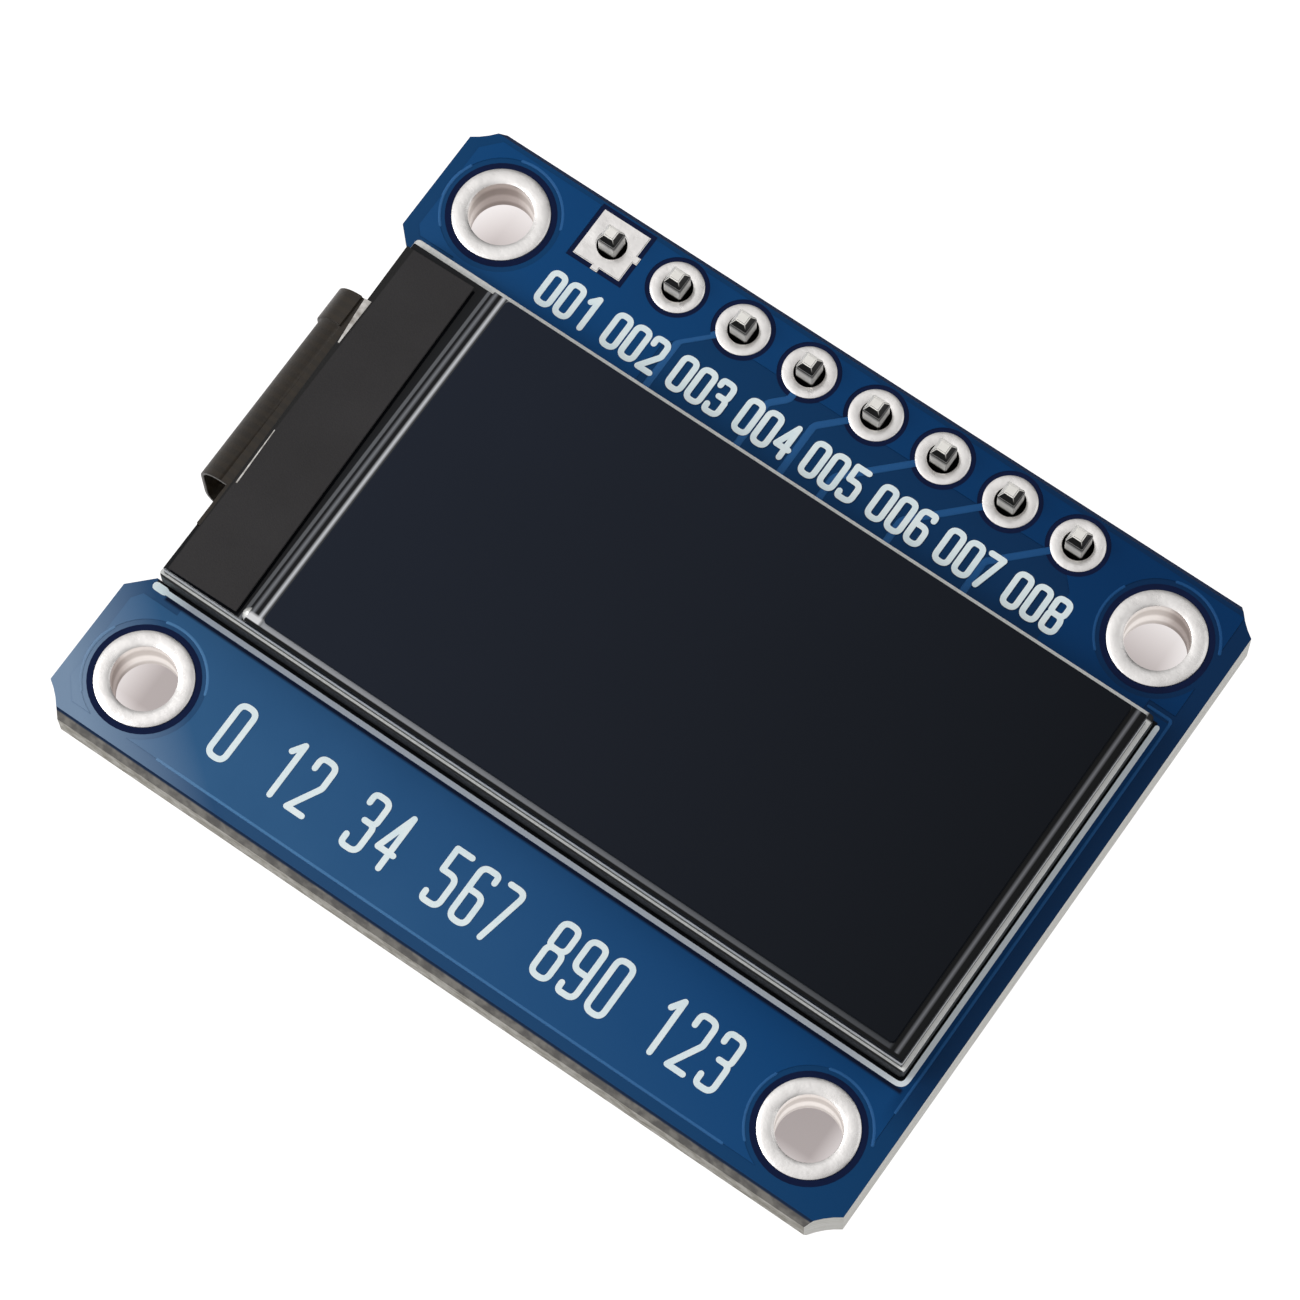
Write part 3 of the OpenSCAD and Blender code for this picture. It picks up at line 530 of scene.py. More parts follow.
def raised_sheet(name, outlines, openings, level, rise, material, slope=0.0):
    """A thin sheet of the given outlines, less the openings, whose upper rim may slope."""
    rings = outlines + openings
    points = [Vector(p) for ring in rings for p in ring]
    starts = [sum(len(r) for r in rings[:i]) for i in range(len(rings))]
    loops = [list(range(s, s + len(r))) for s, r in zip(starts, rings)]
    flat, _, triangles, _, _, owners = delaunay_2d_cdt(points, [], loops, 0, 1e-6)
    kept = [t for t, owner in zip(triangles, owners) if owner and max(owner) < len(outlines)]
    used = sorted({i for triangle in kept for i in triangle})
    runs = [run for triangle in kept for run in zip(triangle, triangle[1:] + triangle[:1])]
    inner = set(runs) & {(b, a) for a, b in runs}
    shape = bmesh.new()
    under, over = (
        {i: shape.verts.new((flat[i].x * MM, flat[i].y * MM, z * MM)) for i in used}
        for z in (level, level + rise))
    for triangle in kept:
        shape.faces.new([under[i] for i in reversed(triangle)])
    upper = [shape.faces.new([over[i] for i in triangle]) for triangle in kept]
    for a, b in runs:
        if (a, b) not in inner:
            shape.faces.new([under[a], under[b], over[b], over[a]])
    if slope:
        rim = [e for e in shape.edges if len([f for f in e.link_faces if f in upper]) == 1]
        bmesh.ops.bevel(shape, geom=rim, offset=slope * MM, segments=2, affect="EDGES")
    bmesh.ops.recalc_face_normals(shape, faces=shape.faces)
    return show(name, settled(shape, name), material)


def on_board(piece):
    """Every piece of this object rides on its one body."""
    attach(piece, "root")


bolt = next(m for m in frame["record"]["mounts"] if m["name"] == "mounting_holes")
hole_x = bolt["dims"]["spacing_x_mm"] / 2
hole_y = bolt["dims"]["spacing_y_mm"] / 2
hole_places = [(sx * hole_x, sy * hole_y) for sy in (-1, 1) for sx in (-1, 1)]
header = next(m for m in frame["record"]["mounts"] if m["name"] == "header_row")
PIN_PITCH = 2.54
PIN_COUNT = 8
header_x, header_y = header["pos_m"][0] / MM, header["pos_m"][1] / MM
pin_xs = [header_x + (i - (PIN_COUNT - 1) / 2) * PIN_PITCH for i in range(PIN_COUNT)]

COPPER_RISE = 0.022
HOLE_CLEAR = 1.98
PAD_CLEAR = 1.04
FIRST_PAD_CLEAR = 1.06
FRONT_OUTLINE = [
    (-12.9, -11.35), (14.35, -11.35), (14.35, 11.6), (-13.9, 11.6), (-14.45, 11.0),
    (-14.45, 7.75), (-14.2, 7.45), (-12.9, 7.45), (-12.9, -7.25), (-14.2, -7.25), (-14.45, -7.6),
    (-14.45, -10.7), (-13.9, -11.35)]
TRACE_FIELD = [(-5.75, 6.0), (9.45, 6.0), (9.45, 9.2), (8.7, 10.0), (-4.6, 10.0), (-5.75, 8.85)]
CORNER_CUTS = [oblong(12.6, -12, 15, -9.4), oblong(13.4, 7.35, 15, 7.7)]
PANEL_TUCK, PANEL_TUCK_LEFT = 0.5, -12.5
under_panel = oblong(PANEL_TUCK_LEFT, panel_low.y + PANEL_TUCK,
                     panel_high.x - PANEL_TUCK, panel_high.y - PANEL_TUCK)
pad_openings = [disc(x, y, HOLE_CLEAR) for x, y in hole_places]
pad_openings += [disc(x, header_y, PAD_CLEAR) for x in pin_xs[1:]]
pad_openings += [around(pin_xs[0], header_y, FIRST_PAD_CLEAR)]
front_openings = pad_openings + [TRACE_FIELD, under_panel] + CORNER_CUTS
front_copper = raised_sheet(
    "front_copper", [FRONT_OUTLINE], front_openings, front_level, COPPER_RISE, copper_mask)
on_board(front_copper)
STROKE_FACETS, STROKE_TURN_STEPS = 10, 7
STROKE_END_FACETS, STROKE_END_RINGS = 14, 8


def step(tree, kind, inputs=None, **settings):
    """One step of a geometry tree; gives what the step makes."""
    return put(tree, "GeometryNode" + kind, inputs, **settings).outputs[0]


def coat(tree, shape, material, end):
    """The last steps of a geometry tree: smooth shading and the finish."""
    smooth = step(tree, "SetShadeSmooth", {"Geometry": shape})
    feed(tree, end[0], step(tree, "SetMaterial", {"Geometry": smooth, "Material": material}))


def make_stroke_tree():
    """Turns drawn lines into low rounded strokes with round corners and round ends."""
    sizes = dict.fromkeys(("Stroke Width", "Stroke Height", "Corner Radius", "Level"), "Float")
    tree, start, end = make_group(
        "drawn_strokes", "GeometryNodeTree",
        {"Lines": "Geometry", **sizes, "Finish": "Material"}, {"Strokes": "Geometry"})
    half = product(tree, start["Stroke Width"], 0.5)
    flatten = sum_of(tree, "DIVIDE", start["Stroke Height"], half)
    lines = step(tree, "MeshToCurve", {"Mesh": start["Lines"]})
    turns = {"Radius": start["Corner Radius"], "Limit Radius": True, "Count": STROKE_TURN_STEPS}
    route = step(tree, "FilletCurve", {"Curve": lines, **turns}, mode="POLY")
    section = step(tree, "CurvePrimitiveCircle", {"Radius": half, "Resolution": STROKE_FACETS})
    tube = step(tree, "CurveToMesh", {"Curve": route, "Profile Curve": section, "Fill Caps": True})
    ends = step(tree, "CurveEndpointSelection")
    facets = {"Segments": STROKE_END_FACETS, "Rings": STROKE_END_RINGS}
    ball = step(tree, "MeshUVSphere", {"Radius": half, **facets})
    balls = step(tree, "InstanceOnPoints", {"Points": route, "Selection": ends, "Instance": ball})
    both = put(tree, "GeometryNodeJoinGeometry")
    for part in (tube, balls):
        feed(tree, both.inputs[0], part)
    whole = step(tree, "RealizeInstances", {"Geometry": both.outputs[0]})
    squash = put(tree, "ShaderNodeCombineXYZ", {"X": 1.0, "Y": 1.0, "Z": flatten}).outputs[0]
    lift = put(tree, "ShaderNodeCombineXYZ", {"Z": start["Level"]}).outputs[0]
    laid = step(tree, "Transform", {"Geometry": whole, "Scale": squash, "Translation": lift})
    coat(tree, laid, start["Finish"], end)
    return tree


def grow(name, tree, mesh, values):
    """Runs a geometry tree on a mesh and keeps the result as a plain mesh."""
    carrier = bpy.data.objects.new(name + "_carrier", mesh)
    scene.collection.objects.link(carrier)
    modifier = carrier.modifiers.new("grow", "NODES")
    modifier.node_group = tree
    for item in tree.interface.items_tree:
        if item.in_out == "INPUT" and item.name in values:
            modifier[item.identifier] = values[item.name]
    depsgraph = bpy.context.evaluated_depsgraph_get()
    made = bpy.data.meshes.new_from_object(carrier.evaluated_get(depsgraph), depsgraph=depsgraph)
    made.name = name
    carrier.modifiers.remove(modifier)
    bpy.data.objects.remove(carrier)
    return made


stroke_tree = make_stroke_tree()


def drawn(name, routes, wide, rise, corner, level, material):
    """Strokes along the given routes, on the board. Millimetres."""
    mesh = bpy.data.meshes.new(name + "_lines")
    points, edges = [], []
    for route in routes:
        first = len(points)
        points += [(x * MM, y * MM, 0) for x, y in route]
        edges += [(first + i, first + i + 1) for i in range(len(route) - 1)]
    mesh.from_pydata(points, edges, [])
    values = {"Stroke Width": wide * MM, "Stroke Height": rise * MM, "Corner Radius": corner * MM,
              "Level": level * MM, "Finish": material}
    on_board(show(name, grow(name, stroke_tree, mesh, values)))


TRACE_WIDE, TRACE_CORNER = 0.26, 0.3
TRACE_TURNS = {2: 1.45, 4: 1.4, 5: 2.45, 6: 2.45, 7: 2.1}
TRACE_FOOT = 6.3
PAD_SIDE = 0.57
FOURTH_TRACE = ((0, 0.8), (0, 1.1), (0.5, 1.6))
# Painted highlights: pale strokes along parts of the copper's edges round the holes and along its lower and
# right edges.
HIGHLIGHT_WIDE, HIGHLIGHT_CORNER, HIGHLIGHT_RISE = 0.12, 0.1, COPPER_RISE + 0.006
HIGHLIGHT_ARCS = ((20, 105), (155, 225))
HIGHLIGHT_LINES = [[(-10.6, -11.35), (10.6, -11.35)], [(14.35, -7.6), (14.35, 7.5), (13.5, 7.5)]]
fourth_route = [(pin_xs[3] - left, header_y - down) for left, down in FOURTH_TRACE]
front_routes = [fourth_route + [(fourth_route[-1][0], TRACE_FOOT)]]
for pin, turn in TRACE_TURNS.items():
    bend_x, bend_y = pin_xs[pin] - turn, header_y - turn
    pad_corner = (pin_xs[pin] - PAD_SIDE, header_y - PAD_SIDE)
    front_routes.append([pad_corner, (bend_x, bend_y), (bend_x, TRACE_FOOT)])
highlight_routes = [arc(x, y, HOLE_CLEAR, *turn) for x, y in hole_places for turn in HIGHLIGHT_ARCS] + HIGHLIGHT_LINES
drawn("front_traces", front_routes, TRACE_WIDE, COPPER_RISE, TRACE_CORNER, front_level, edge_mask_and_highlight)
drawn("front_copper_edges", highlight_routes, HIGHLIGHT_WIDE, HIGHLIGHT_RISE, HIGHLIGHT_CORNER, front_level, edge_mask_and_highlight)
JOIN_WITHIN = 0.0005


def joined_copy(node):
    """A copy of a CAD solid to work on, with its faces joined along their edges."""
    shape = bmesh.new()
    shape.from_mesh(frame["nodes"][node].data)
    bmesh.ops.remove_doubles(shape, verts=shape.verts, dist=JOIN_WITHIN * MM)
    return shape


def islands(node):
    """The box of each loose part of a CAD solid, from left to right, in millimetres."""
    shape = joined_copy(node)
    waiting = set(shape.verts)
    boxes = []
    while waiting:
        reached = [waiting.pop()]
        for vert in reached:
            near = {edge.other_vert(vert) for edge in vert.link_edges} & waiting
            waiting -= near
            reached += near
        places = [vert.co / MM for vert in reached]
        boxes.append([Vector([pick(p[i] for p in places) for i in range(3)]) for pick in (min, max)])
    shape.free()
    return sorted(boxes, key=lambda box: tuple(box[0]))


LAND_CLEAR = 0.15
TRACE_CLEAR = 0.33
TRACE_LAP = 0.2
BEND_BEFORE_LAND = 0.7
HEADER_SHORT = 1.0
VIA_R, VIA_DIMPLE_R, VIA_RISE = 0.3, 0.1, COPPER_RISE + 0.012
VIA_REACHES, VIA_DIMPLE_STEPS = (1.2, 2.0), 16
GROUND_VIAS = [(-5, -9), (0, -9), (5, -9), (9, -6), (12.8, 0), (12.8, 4), (-7, -7)]
BACK_OUTLINE = [
    (-12.9, -11.4), (14.35, -11.4), (14.35, 11.6), (-13.9, 11.6), (-14.4, 11.0), (-14.4, 7.95),
    (-13.9, 7.5), (-12.9, 7.5), (-12.9, -7.25), (-13.9, -7.25), (-14.4, -7.85), (-14.4, -10.8),
    (-13.9, -11.4)]


def round_box(low, high):
    """Rectangular outline round a land or pad, clear of it."""
    return oblong(low.x - LAND_CLEAR, low.y - LAND_CLEAR, high.x + LAND_CLEAR, high.y + LAND_CLEAR)


lands = islands("component_lands")
flex_pads = sorted(islands("flex_solder_pads"), key=lambda box: -box[0].y)
row_y = sum(low.y + high.y for low, high in lands) / (2 * len(lands))
near_lands = sorted((box for box in lands if box[1].y < row_y), key=lambda box: box[0].x)
back_routes = []
for pad, land in zip(flex_pads, near_lands):
    y, x = (pad[0].y + pad[1].y) / 2, (land[0].x + land[1].x) / 2
    bend = land[0].y - BEND_BEFORE_LAND
    back_routes.append([(pad[1].x - TRACE_LAP, y), (x - (bend - y), y), (x, bend),
                        (x, land[0].y + TRACE_LAP)])
vias = list(GROUND_VIAS)
for i, pad in enumerate(flex_pads[len(near_lands):]):
    y, via_x = (pad[0].y + pad[1].y) / 2, pad[1].x + VIA_REACHES[i % 2]
    back_routes.append([(pad[1].x - TRACE_LAP, y), (via_x, y)])
    vias.append((via_x, y))
for low, high in lands:
    if low.y > row_y:
        x = (low.x + high.x) / 2
        back_routes.append([(x, high.y - TRACE_LAP), (x, header_y - HEADER_SHORT)])
back_openings = pad_openings + [round_box(*box) for box in lands + flex_pads]
back_openings += channels(back_routes, TRACE_CLEAR)
on_board(raised_sheet("back_copper", [BACK_OUTLINE], back_openings, back_level, -COPPER_RISE, copper_mask))
drawn("back_traces", back_routes, TRACE_WIDE, COPPER_RISE, TRACE_CORNER, back_level, copper_mask)
via_rims = [disc(x, y, VIA_R) for x, y in vias]
via_dimples = [disc(x, y, VIA_DIMPLE_R, VIA_DIMPLE_STEPS) for x, y in vias]
on_board(raised_sheet("back_vias", via_rims, via_dimples, back_level, -VIA_RISE, edge_mask_and_highlight))

# Plated mounting holes
# A copper barrel with a ring on each face of the board, dipped in solder and blown flat with hot air,
# so that the tin lies in a low crown over each ring and is dull down in the barrel, whose wall is
# painted in bands of light and shade.
PLATE_WALL = 0.05
TIN_CROWN = 0.085
CROWN_STEPS, CROWN_FLATNESS = 9, 0.55
UPRIGHT_FACES = (0.35, 0.15)
BARREL_BAND, BARREL_SPREAD = 1.05, (-0.6, 0.6)
BARREL_ROUGH = 0.45
HOLE_RING = 0.55
HOLE_FACETS = 72
ROUND_SHARP = math.radians(40)


def make_tin(name, barrel_light_and_shade_tones):
    """Bright tin, whose upright faces are painted in bands of two other tones, as painted light and shade
    down a barrel.
    """
    material = finish(name, ("d6d3d1", "e4e1df"), spot=0.9, grain=0.45, rough=(0.24, 0.38),
                      depth=0.008, metallic=1.0)
    tree = material.node_tree
    depth = sum_of(tree, "SUBTRACT", along(tree, "Z"), front_level * MM)
    turns = product(tree, sum_of(tree, "DIVIDE", depth, BARREL_BAND * MM), 2 * math.pi)
    band = remap(tree, sum_of(tree, "COSINE", turns), *BARREL_SPREAD)
    upright = facing(tree, "Z", *UPRIGHT_FACES)
    repaint(tree, upright, blend(tree, band, *barrel_light_and_shade_tones))
    rougher(tree, product(tree, upright, BARREL_ROUGH))
    return material


tin_finish = make_tin("bright_tin", ("cfc6c0", "f4ede8"))
# The barrels round the pins are painted near black, as painted shade down in the holes.
shaded_barrel_tin_finish = make_tin("tin_round_pins", ("100e0c", "14110f"))


def make_ring_tree():
    """Turns a half section round an axis and sets the turned ring on a grid of places."""
    lengths = dict.fromkeys(("Turning Radius", "Spacing X", "Spacing Y"), "Float")
    counts = dict.fromkeys(("Count X", "Count Y", "Facets"), "Int")
    tree, start, end = make_group(
        "turned_rings", "GeometryNodeTree",
        {"Section": "Geometry", **lengths, **counts, "Middle": "Vector", "Finish": "Material"},
        {"Rings": "Geometry"})
    section = step(tree, "MeshToCurve", {"Mesh": start["Section"]})
    circle = {"Radius": start["Turning Radius"], "Resolution": start["Facets"]}
    path = step(tree, "CurvePrimitiveCircle", circle)
    ring = step(tree, "CurveToMesh", {"Curve": path, "Profile Curve": section})
    rows = []
    for axis in "XY":
        pace = put(tree, "ShaderNodeCombineXYZ", {axis: start["Spacing " + axis]}).outputs[0]
        rows.append(step(tree, "MeshLine", {"Count": start["Count " + axis], "Offset": pace}))
    grid = step(tree, "InstanceOnPoints", {"Points": rows[0], "Instance": rows[1]})
    places = step(tree, "RealizeInstances", {"Geometry": grid})
    rings = step(tree, "InstanceOnPoints", {"Points": places, "Instance": ring})
    moved = step(tree, "Transform", {"Geometry": rings, "Translation": start["Middle"]})
    whole = step(tree, "RealizeInstances", {"Geometry": moved})
    coat(tree, whole, start["Finish"], end)
    return tree


ring_tree = make_ring_tree()


def turned(name, section, first, count, spacing, facets, material):
    """Rings of one closed half section of (radius, height) points, on a grid from its first place."""
    base = sum(r for r, _ in section) / len(section)
    mesh = bpy.data.meshes.new(name + "_section")
    points = [((r - base) * MM, -z * MM, 0) for r, z in section]
    mesh.from_pydata(points, [(i, (i + 1) % len(points)) for i in range(len(points))], [])
    values = {"Turning Radius": base * MM, "Spacing X": spacing[0] * MM, "Spacing Y": spacing[1] * MM,
              "Count X": count[0], "Count Y": count[1], "Facets": facets,
              "Middle": (first[0] * MM, first[1] * MM, 0), "Finish": material}
    made = grow(name, ring_tree, mesh, values)
    shape = bmesh.new()
    shape.from_mesh(made)
    bmesh.ops.recalc_face_normals(shape, faces=shape.faces)
    shape.to_mesh(made)
    shape.free()
    made.set_sharp_from_angle(angle=ROUND_SHARP)
    return made


def plated_section(bore, ring, crown):
    """Half section of a plated hole: barrel, and a crowned ring on each face."""
    middle, half = (bore + ring) / 2, (ring - bore) / 2
    turns = [math.pi * i / CROWN_STEPS for i in range(CROWN_STEPS + 1)]
    arch = [(middle - half * math.cos(a), crown * math.sin(a) ** CROWN_FLATNESS) for a in turns]
    upper = [(r, front_level + z) for r, z in arch]
    lower = [(r, back_level - z) for r, z in reversed(arch)]
    barrel = bore + PLATE_WALL
    return upper + [(barrel, front_level), (barrel, back_level)] + lower


hole_r = bolt["dims"]["hole_r_mm"]
mounting_rings = show("mounting_rings", turned(
    "mounting_rings", plated_section(hole_r, hole_r + HOLE_RING, TIN_CROWN), (-hole_x, -hole_y), (2, 2),
    (2 * hole_x, 2 * hole_y), HOLE_FACETS, tin_finish))
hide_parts("mounting_hole_platings")
on_board(mounting_rings)

# Plated header holes
# Eight smaller plated holes in a row, tinned with the rest and painted dark inside as shade, where the pins
# stand.
# The first has square pads, tied to the ground copper by two short spokes.
PAD_BORE = 0.5
PAD_RING = 0.89
PAD_SLOPE = 0.03
PAD_FACETS = 56
SPOKE_HALF = 0.13
SPOKE_REACH = 0.15
SPOKE_LAP = 0.1


def merged(name, parts):
    """Joins meshes that are one piece of metal or print."""
    shape = bmesh.new()
    for part in parts:
        shape.from_mesh(part.data if isinstance(part, bpy.types.Object) else part)
    for part in parts:
        if isinstance(part, bpy.types.Object):
            bpy.data.objects.remove(part)
    return settled(shape, name)


def square_pad(name, level, rise):
    """The first pin's pad with its spokes."""
    x, y = pin_xs[0], header_y
    inner, outer = PAD_RING - SPOKE_LAP, PAD_RING + SPOKE_REACH
    outlines = [around(x, y, PAD_RING),
                oblong(x - SPOKE_HALF, y - outer, x + SPOKE_HALF, y - inner),
                oblong(x + inner, y - SPOKE_HALF, x + outer, y + SPOKE_HALF)]
    return raised_sheet(name, outlines, [disc(x, y, PAD_BORE)], level, rise, shaded_barrel_tin_finish, PAD_SLOPE)


round_section = plated_section(PAD_BORE, PAD_RING, PLATE_WALL)
barrel_section = [(PAD_BORE, front_level), (PAD_BORE + PLATE_WALL, front_level),
                  (PAD_BORE + PLATE_WALL, back_level), (PAD_BORE, back_level)]
pad_grid = (PIN_PITCH, PIN_PITCH)
header_pad_parts = [
    turned(name, section, (first_x, header_y), (count, 1), pad_grid, PAD_FACETS, shaded_barrel_tin_finish)
    for name, section, first_x, count in (("round_pads", round_section, pin_xs[1], PIN_COUNT - 1),
                                          ("first_barrel", barrel_section, pin_xs[0], 1))]
header_pad_parts += [square_pad("first_pad_front", front_level, PLATE_WALL),
                     square_pad("first_pad_back", back_level, -PLATE_WALL)]
header_pads = show("header_pads", merged("header_pads", header_pad_parts), shaded_barrel_tin_finish)
header_pads.data.set_sharp_from_angle(angle=ROUND_SHARP)
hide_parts("header_hole_platings")
on_board(header_pads)

# Gaps round the tin
# The mask stops a little short of the tinned pads, and a thin ring of bare resin shows between them,
# a hair's breadth below the top of the mask, painted near black as the shade round the raised tin.
HOLE_GAP, PAD_GAP = 0.2, 0.155
GAP_TUCK, GAP_RISE = -0.03, 0.006
gap_shade_finish = finish("bare_resin", ("0a1738", "0d1b3f"), spot=0.6, grain=0.1, rough=(0.4, 0.55),
                    depth=0.001, specular=MASK_SHEEN)


def rims(hole_more, pad_more):
    """Outlines of all the tinned pads, made wider by a little."""
    made = [disc(x, y, hole_r + HOLE_RING + hole_more) for x, y in hole_places]
    made += [disc(x, header_y, PAD_RING + pad_more) for x in pin_xs[1:]]
    return made + [around(pin_xs[0], header_y, PAD_RING + pad_more)]


gap_parts = [
    raised_sheet("gaps", rims(HOLE_GAP, PAD_GAP), rims(GAP_TUCK, GAP_TUCK), level, rise, gap_shade_finish)
    for level, rise in ((front_level, GAP_RISE), (back_level, -GAP_RISE))]
on_board(show("pad_gaps", merged("pad_gaps", gap_parts), gap_shade_finish))

# Pin header
# Square drawn pins, tinned, pushed through a moulded black strip and then up through the plated holes.
# Two slopes of each tip, with the edge below them, are painted dark, a painted reflection of the dark
# things about the pins, and painted shade darkens the stretch down in the hole.
SLOPES_STEEPEST, SLOPES_FLATTEST, PIN_SIDES = (0.3, 0.45), (0.75, 0.6), (0.35, 0.3)
DARK_REFLECTION_TONE, DARK_REFLECTION_DOWN, DARK_REFLECTION_SOFT, DARK_REFLECTION_SPREAD = "13110f", 0.43, 0.1, (0.3, 0.6)
HOLE_SHADE_TONE, HOLE_SHADE_SOFT, HOLE_SHADE_BELOW = "080706", 0.1, 0.02
EASED_FROM = math.radians(30)
EASED_SHARP = math.radians(15)
FLAT_WITHIN = 0.01


def softened(node, name, material, radius):
    """A copy of a CAD solid with its sharp edges eased, which stands for it."""
    shape = joined_copy(node)
    bmesh.ops.dissolve_limit(shape, angle_limit=FLAT_WITHIN, verts=shape.verts, edges=shape.edges)
    sharp = [e for e in shape.edges if e.is_manifold and e.calc_face_angle(0) > EASED_FROM]
    bmesh.ops.bevel(shape, geom=sharp, offset=radius * MM, segments=2, affect="EDGES", clamp_overlap=True)
    mesh = settled(shape, name)
    mesh.shade_smooth()
    mesh.set_sharp_from_angle(angle=EASED_SHARP)
    piece = show(name, mesh, material)
    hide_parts(node)
    on_board(piece)


def make_pin_finish():
    """Tin, with a painted dark reflection on one side of the tip and painted shade down in the hole."""
    material = finish("tinned_pin", ("f1eee8", "f9f6f0"), spot=0.8, grain=0.2, rough=(0.34, 0.46),
                      depth=0.0015, metallic=0.1)
    tree = material.node_tree
    slope = product(tree, facing(tree, "Z", *SLOPES_STEEPEST), facing(tree, "Z", *SLOPES_FLATTEST))
    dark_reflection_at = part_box("header_pins")[1].z / MM - DARK_REFLECTION_DOWN
    tip = past(tree, "Z", dark_reflection_at - DARK_REFLECTION_SOFT, dark_reflection_at + DARK_REFLECTION_SOFT)
    edge = product(tree, facing(tree, "Z", *PIN_SIDES), tip)
    ways = looks_along(tree)
    dark_reflection_side = remap(tree, sum_of(tree, "SUBTRACT", ways["X"], ways["Y"]), *DARK_REFLECTION_SPREAD)
    # Painted dark reflection on two slopes of each tip and the edge below them.
    repaint(tree, product(tree, sum_of(tree, "MAXIMUM", slope, edge), dark_reflection_side), DARK_REFLECTION_TONE)
    # Painted shade on the stretch of pin down in the hole.
    below_front = past(tree, "Z", front_level + HOLE_SHADE_SOFT, front_level - HOLE_SHADE_BELOW)
    above_back = past(tree, "Z", back_level - HOLE_SHADE_SOFT, back_level)
    repaint(tree, product(tree, below_front, above_back), HOLE_SHADE_TONE)
    return material


strip_finish = finish("black_strip", ("131314", "1b1b1c"), spot=1.6, grain=0.09, rough=(0.45, 0.65),
                      depth=0.006, specular=0.4)
softened("header_pins", "header_pin_row", make_pin_finish(), radius=0.03)
softened("header_insulator", "header_strip", strip_finish, radius=0.06)

# Backlight
# A white frame wrapped in black holds a reflector, a clear light guide with two side-firing lamps
# on a small flex, a diffuser and two prism films; double-sided tape holds it on the board.
FRAME_TONES, FRAME_END_PAINTED_LIGHT_TONE = ("d2d3d1", "e6e7e5"), "fafaf8"
WRAP_LAP, WRAP_SOFT = 0.055, 0.02
FRAME_END, FRAME_END_SOFT = 0.3, 0.1
FRAME_TOP, FRAME_TOP_SOFT = 0.2, 0.06
FRAME_UPWARD_FACES = (0.5, 0.7)


def make_frame_finish():
    """Black wrap on the sides, the white frame itself where its top edge shows beside the glass, painted
    whiter at its right end as painted light where the glass shades it.
    """
    material = finish("wrapped_frame", ("0b0c0d", "131415"), spot=1.4, grain=0.1, rough=(0.35, 0.5),
                      depth=0.002, specular=0.3)
    tree = material.node_tree
    end_x, top_y, lap_y = panel_high.x - FRAME_END, panel_high.y - FRAME_TOP, panel_low.y + WRAP_LAP
    right_end = past(tree, "X", end_x, end_x + FRAME_END_SOFT)
    # Painted light: the white is lifted towards the right end of the frame.
    white = blend(tree, right_end, blend(tree, grain_of(tree), *FRAME_TONES), FRAME_END_PAINTED_LIGHT_TONE)
    below_top = past(tree, "Y", top_y, top_y - FRAME_TOP_SOFT)
    bare = sum_of(tree, "MAXIMUM", below_top, sum_of(tree, "SUBTRACT", 1.0, right_end))
    inner = past(tree, "Y", lap_y, lap_y + WRAP_SOFT)
    upward = facing(tree, "Z", *FRAME_UPWARD_FACES)
    repaint(tree, product(tree, upward, inner, bare), white)
    return material


softened("backlight_frame", "panel_frame", make_frame_finish(), radius=0.03)
dress(finish("tape_pad", ("dedcd4", "e9e7e0"), spot=1.5, grain=0.15, rough=(0.6, 0.8), depth=0.004),
      "panel_adhesive_pad")
dress(finish("reflector_film", ("e8e8e6", "f2f2f0"), spot=3.0, grain=0.2, rough=(0.3, 0.45), depth=0.001),
      "reflector_sheet")
dress(finish("guide_plastic", ("cfe2e8", "dcecf0"), spot=3.0, grain=0.2, rough=(0.1, 0.2), depth=0.001),
      "light_guide")
dress(finish("light_film", ("dfe3e6", "eceff0"), spot=3.0, grain=0.08, rough=(0.4, 0.6), depth=0.002),
      "diffuser_sheet", "lower_prism_sheet", "upper_prism_sheet")
dress(finish("lamp_body", ("e6dca8", "f0e8c2"), spot=0.8, grain=0.1, rough=(0.4, 0.55), depth=0.002),
      "backlight_leds")
dress(finish("lamp_flex", ("53341a", "63401f"), spot=1.2, grain=0.1, rough=(0.35, 0.5), depth=0.002),
      "led_strip")
dress(finish("rim_tape", ("08080a", "101012"), spot=1.0, grain=0.08, rough=(0.5, 0.7), depth=0.002,
             specular=0.3), "light_shield_rim")

# Display glass
# Two thin glasses, scribed and broken to size, so their sides are frosted and pale; the lower one
# runs on at the left as a ledge. Dark polarizing film covers the upper glass but for a narrow margin.
glass_low, glass_high = (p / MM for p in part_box("colour_filter_glass"))
film_low, film_high = (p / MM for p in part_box("upper_polarizer"))
FROST_ROUGH = 0.5
STEP_TONE, STEP_AWAY, STEP_HALF, STEP_SOFT = "6a6c70", 0.2, 0.065, 0.02
DARK, BLACK, PALE = "131418", "0c0d10", "d6d8dc"
FILM_EDGE = "0c0d0e"
LEFT_BANDS = [(0.0, DARK), (0.04, DARK), (0.07, "75777c"), (0.15, "85878c"), (0.18, BLACK), (0.29, BLACK),
              (0.31, PALE), (0.4, PALE), (0.43, BLACK)]
RIGHT_BANDS = [(-3.0, "56585c"), (-0.03, "47494d"), (0.0, FILM_EDGE), (0.14, FILM_EDGE), (0.2, "838489"),
               (0.26, FILM_EDGE)]
FILM_START, FILM_STARTED, MIDDLE_REFLECTION_TONE, RIM_TONE = 0.05, "a9abb0", "7d7f84", "060708"
PASTE_HIGHLIGHT_TONE, PASTE_SOFT = "e6e6e8", 0.1
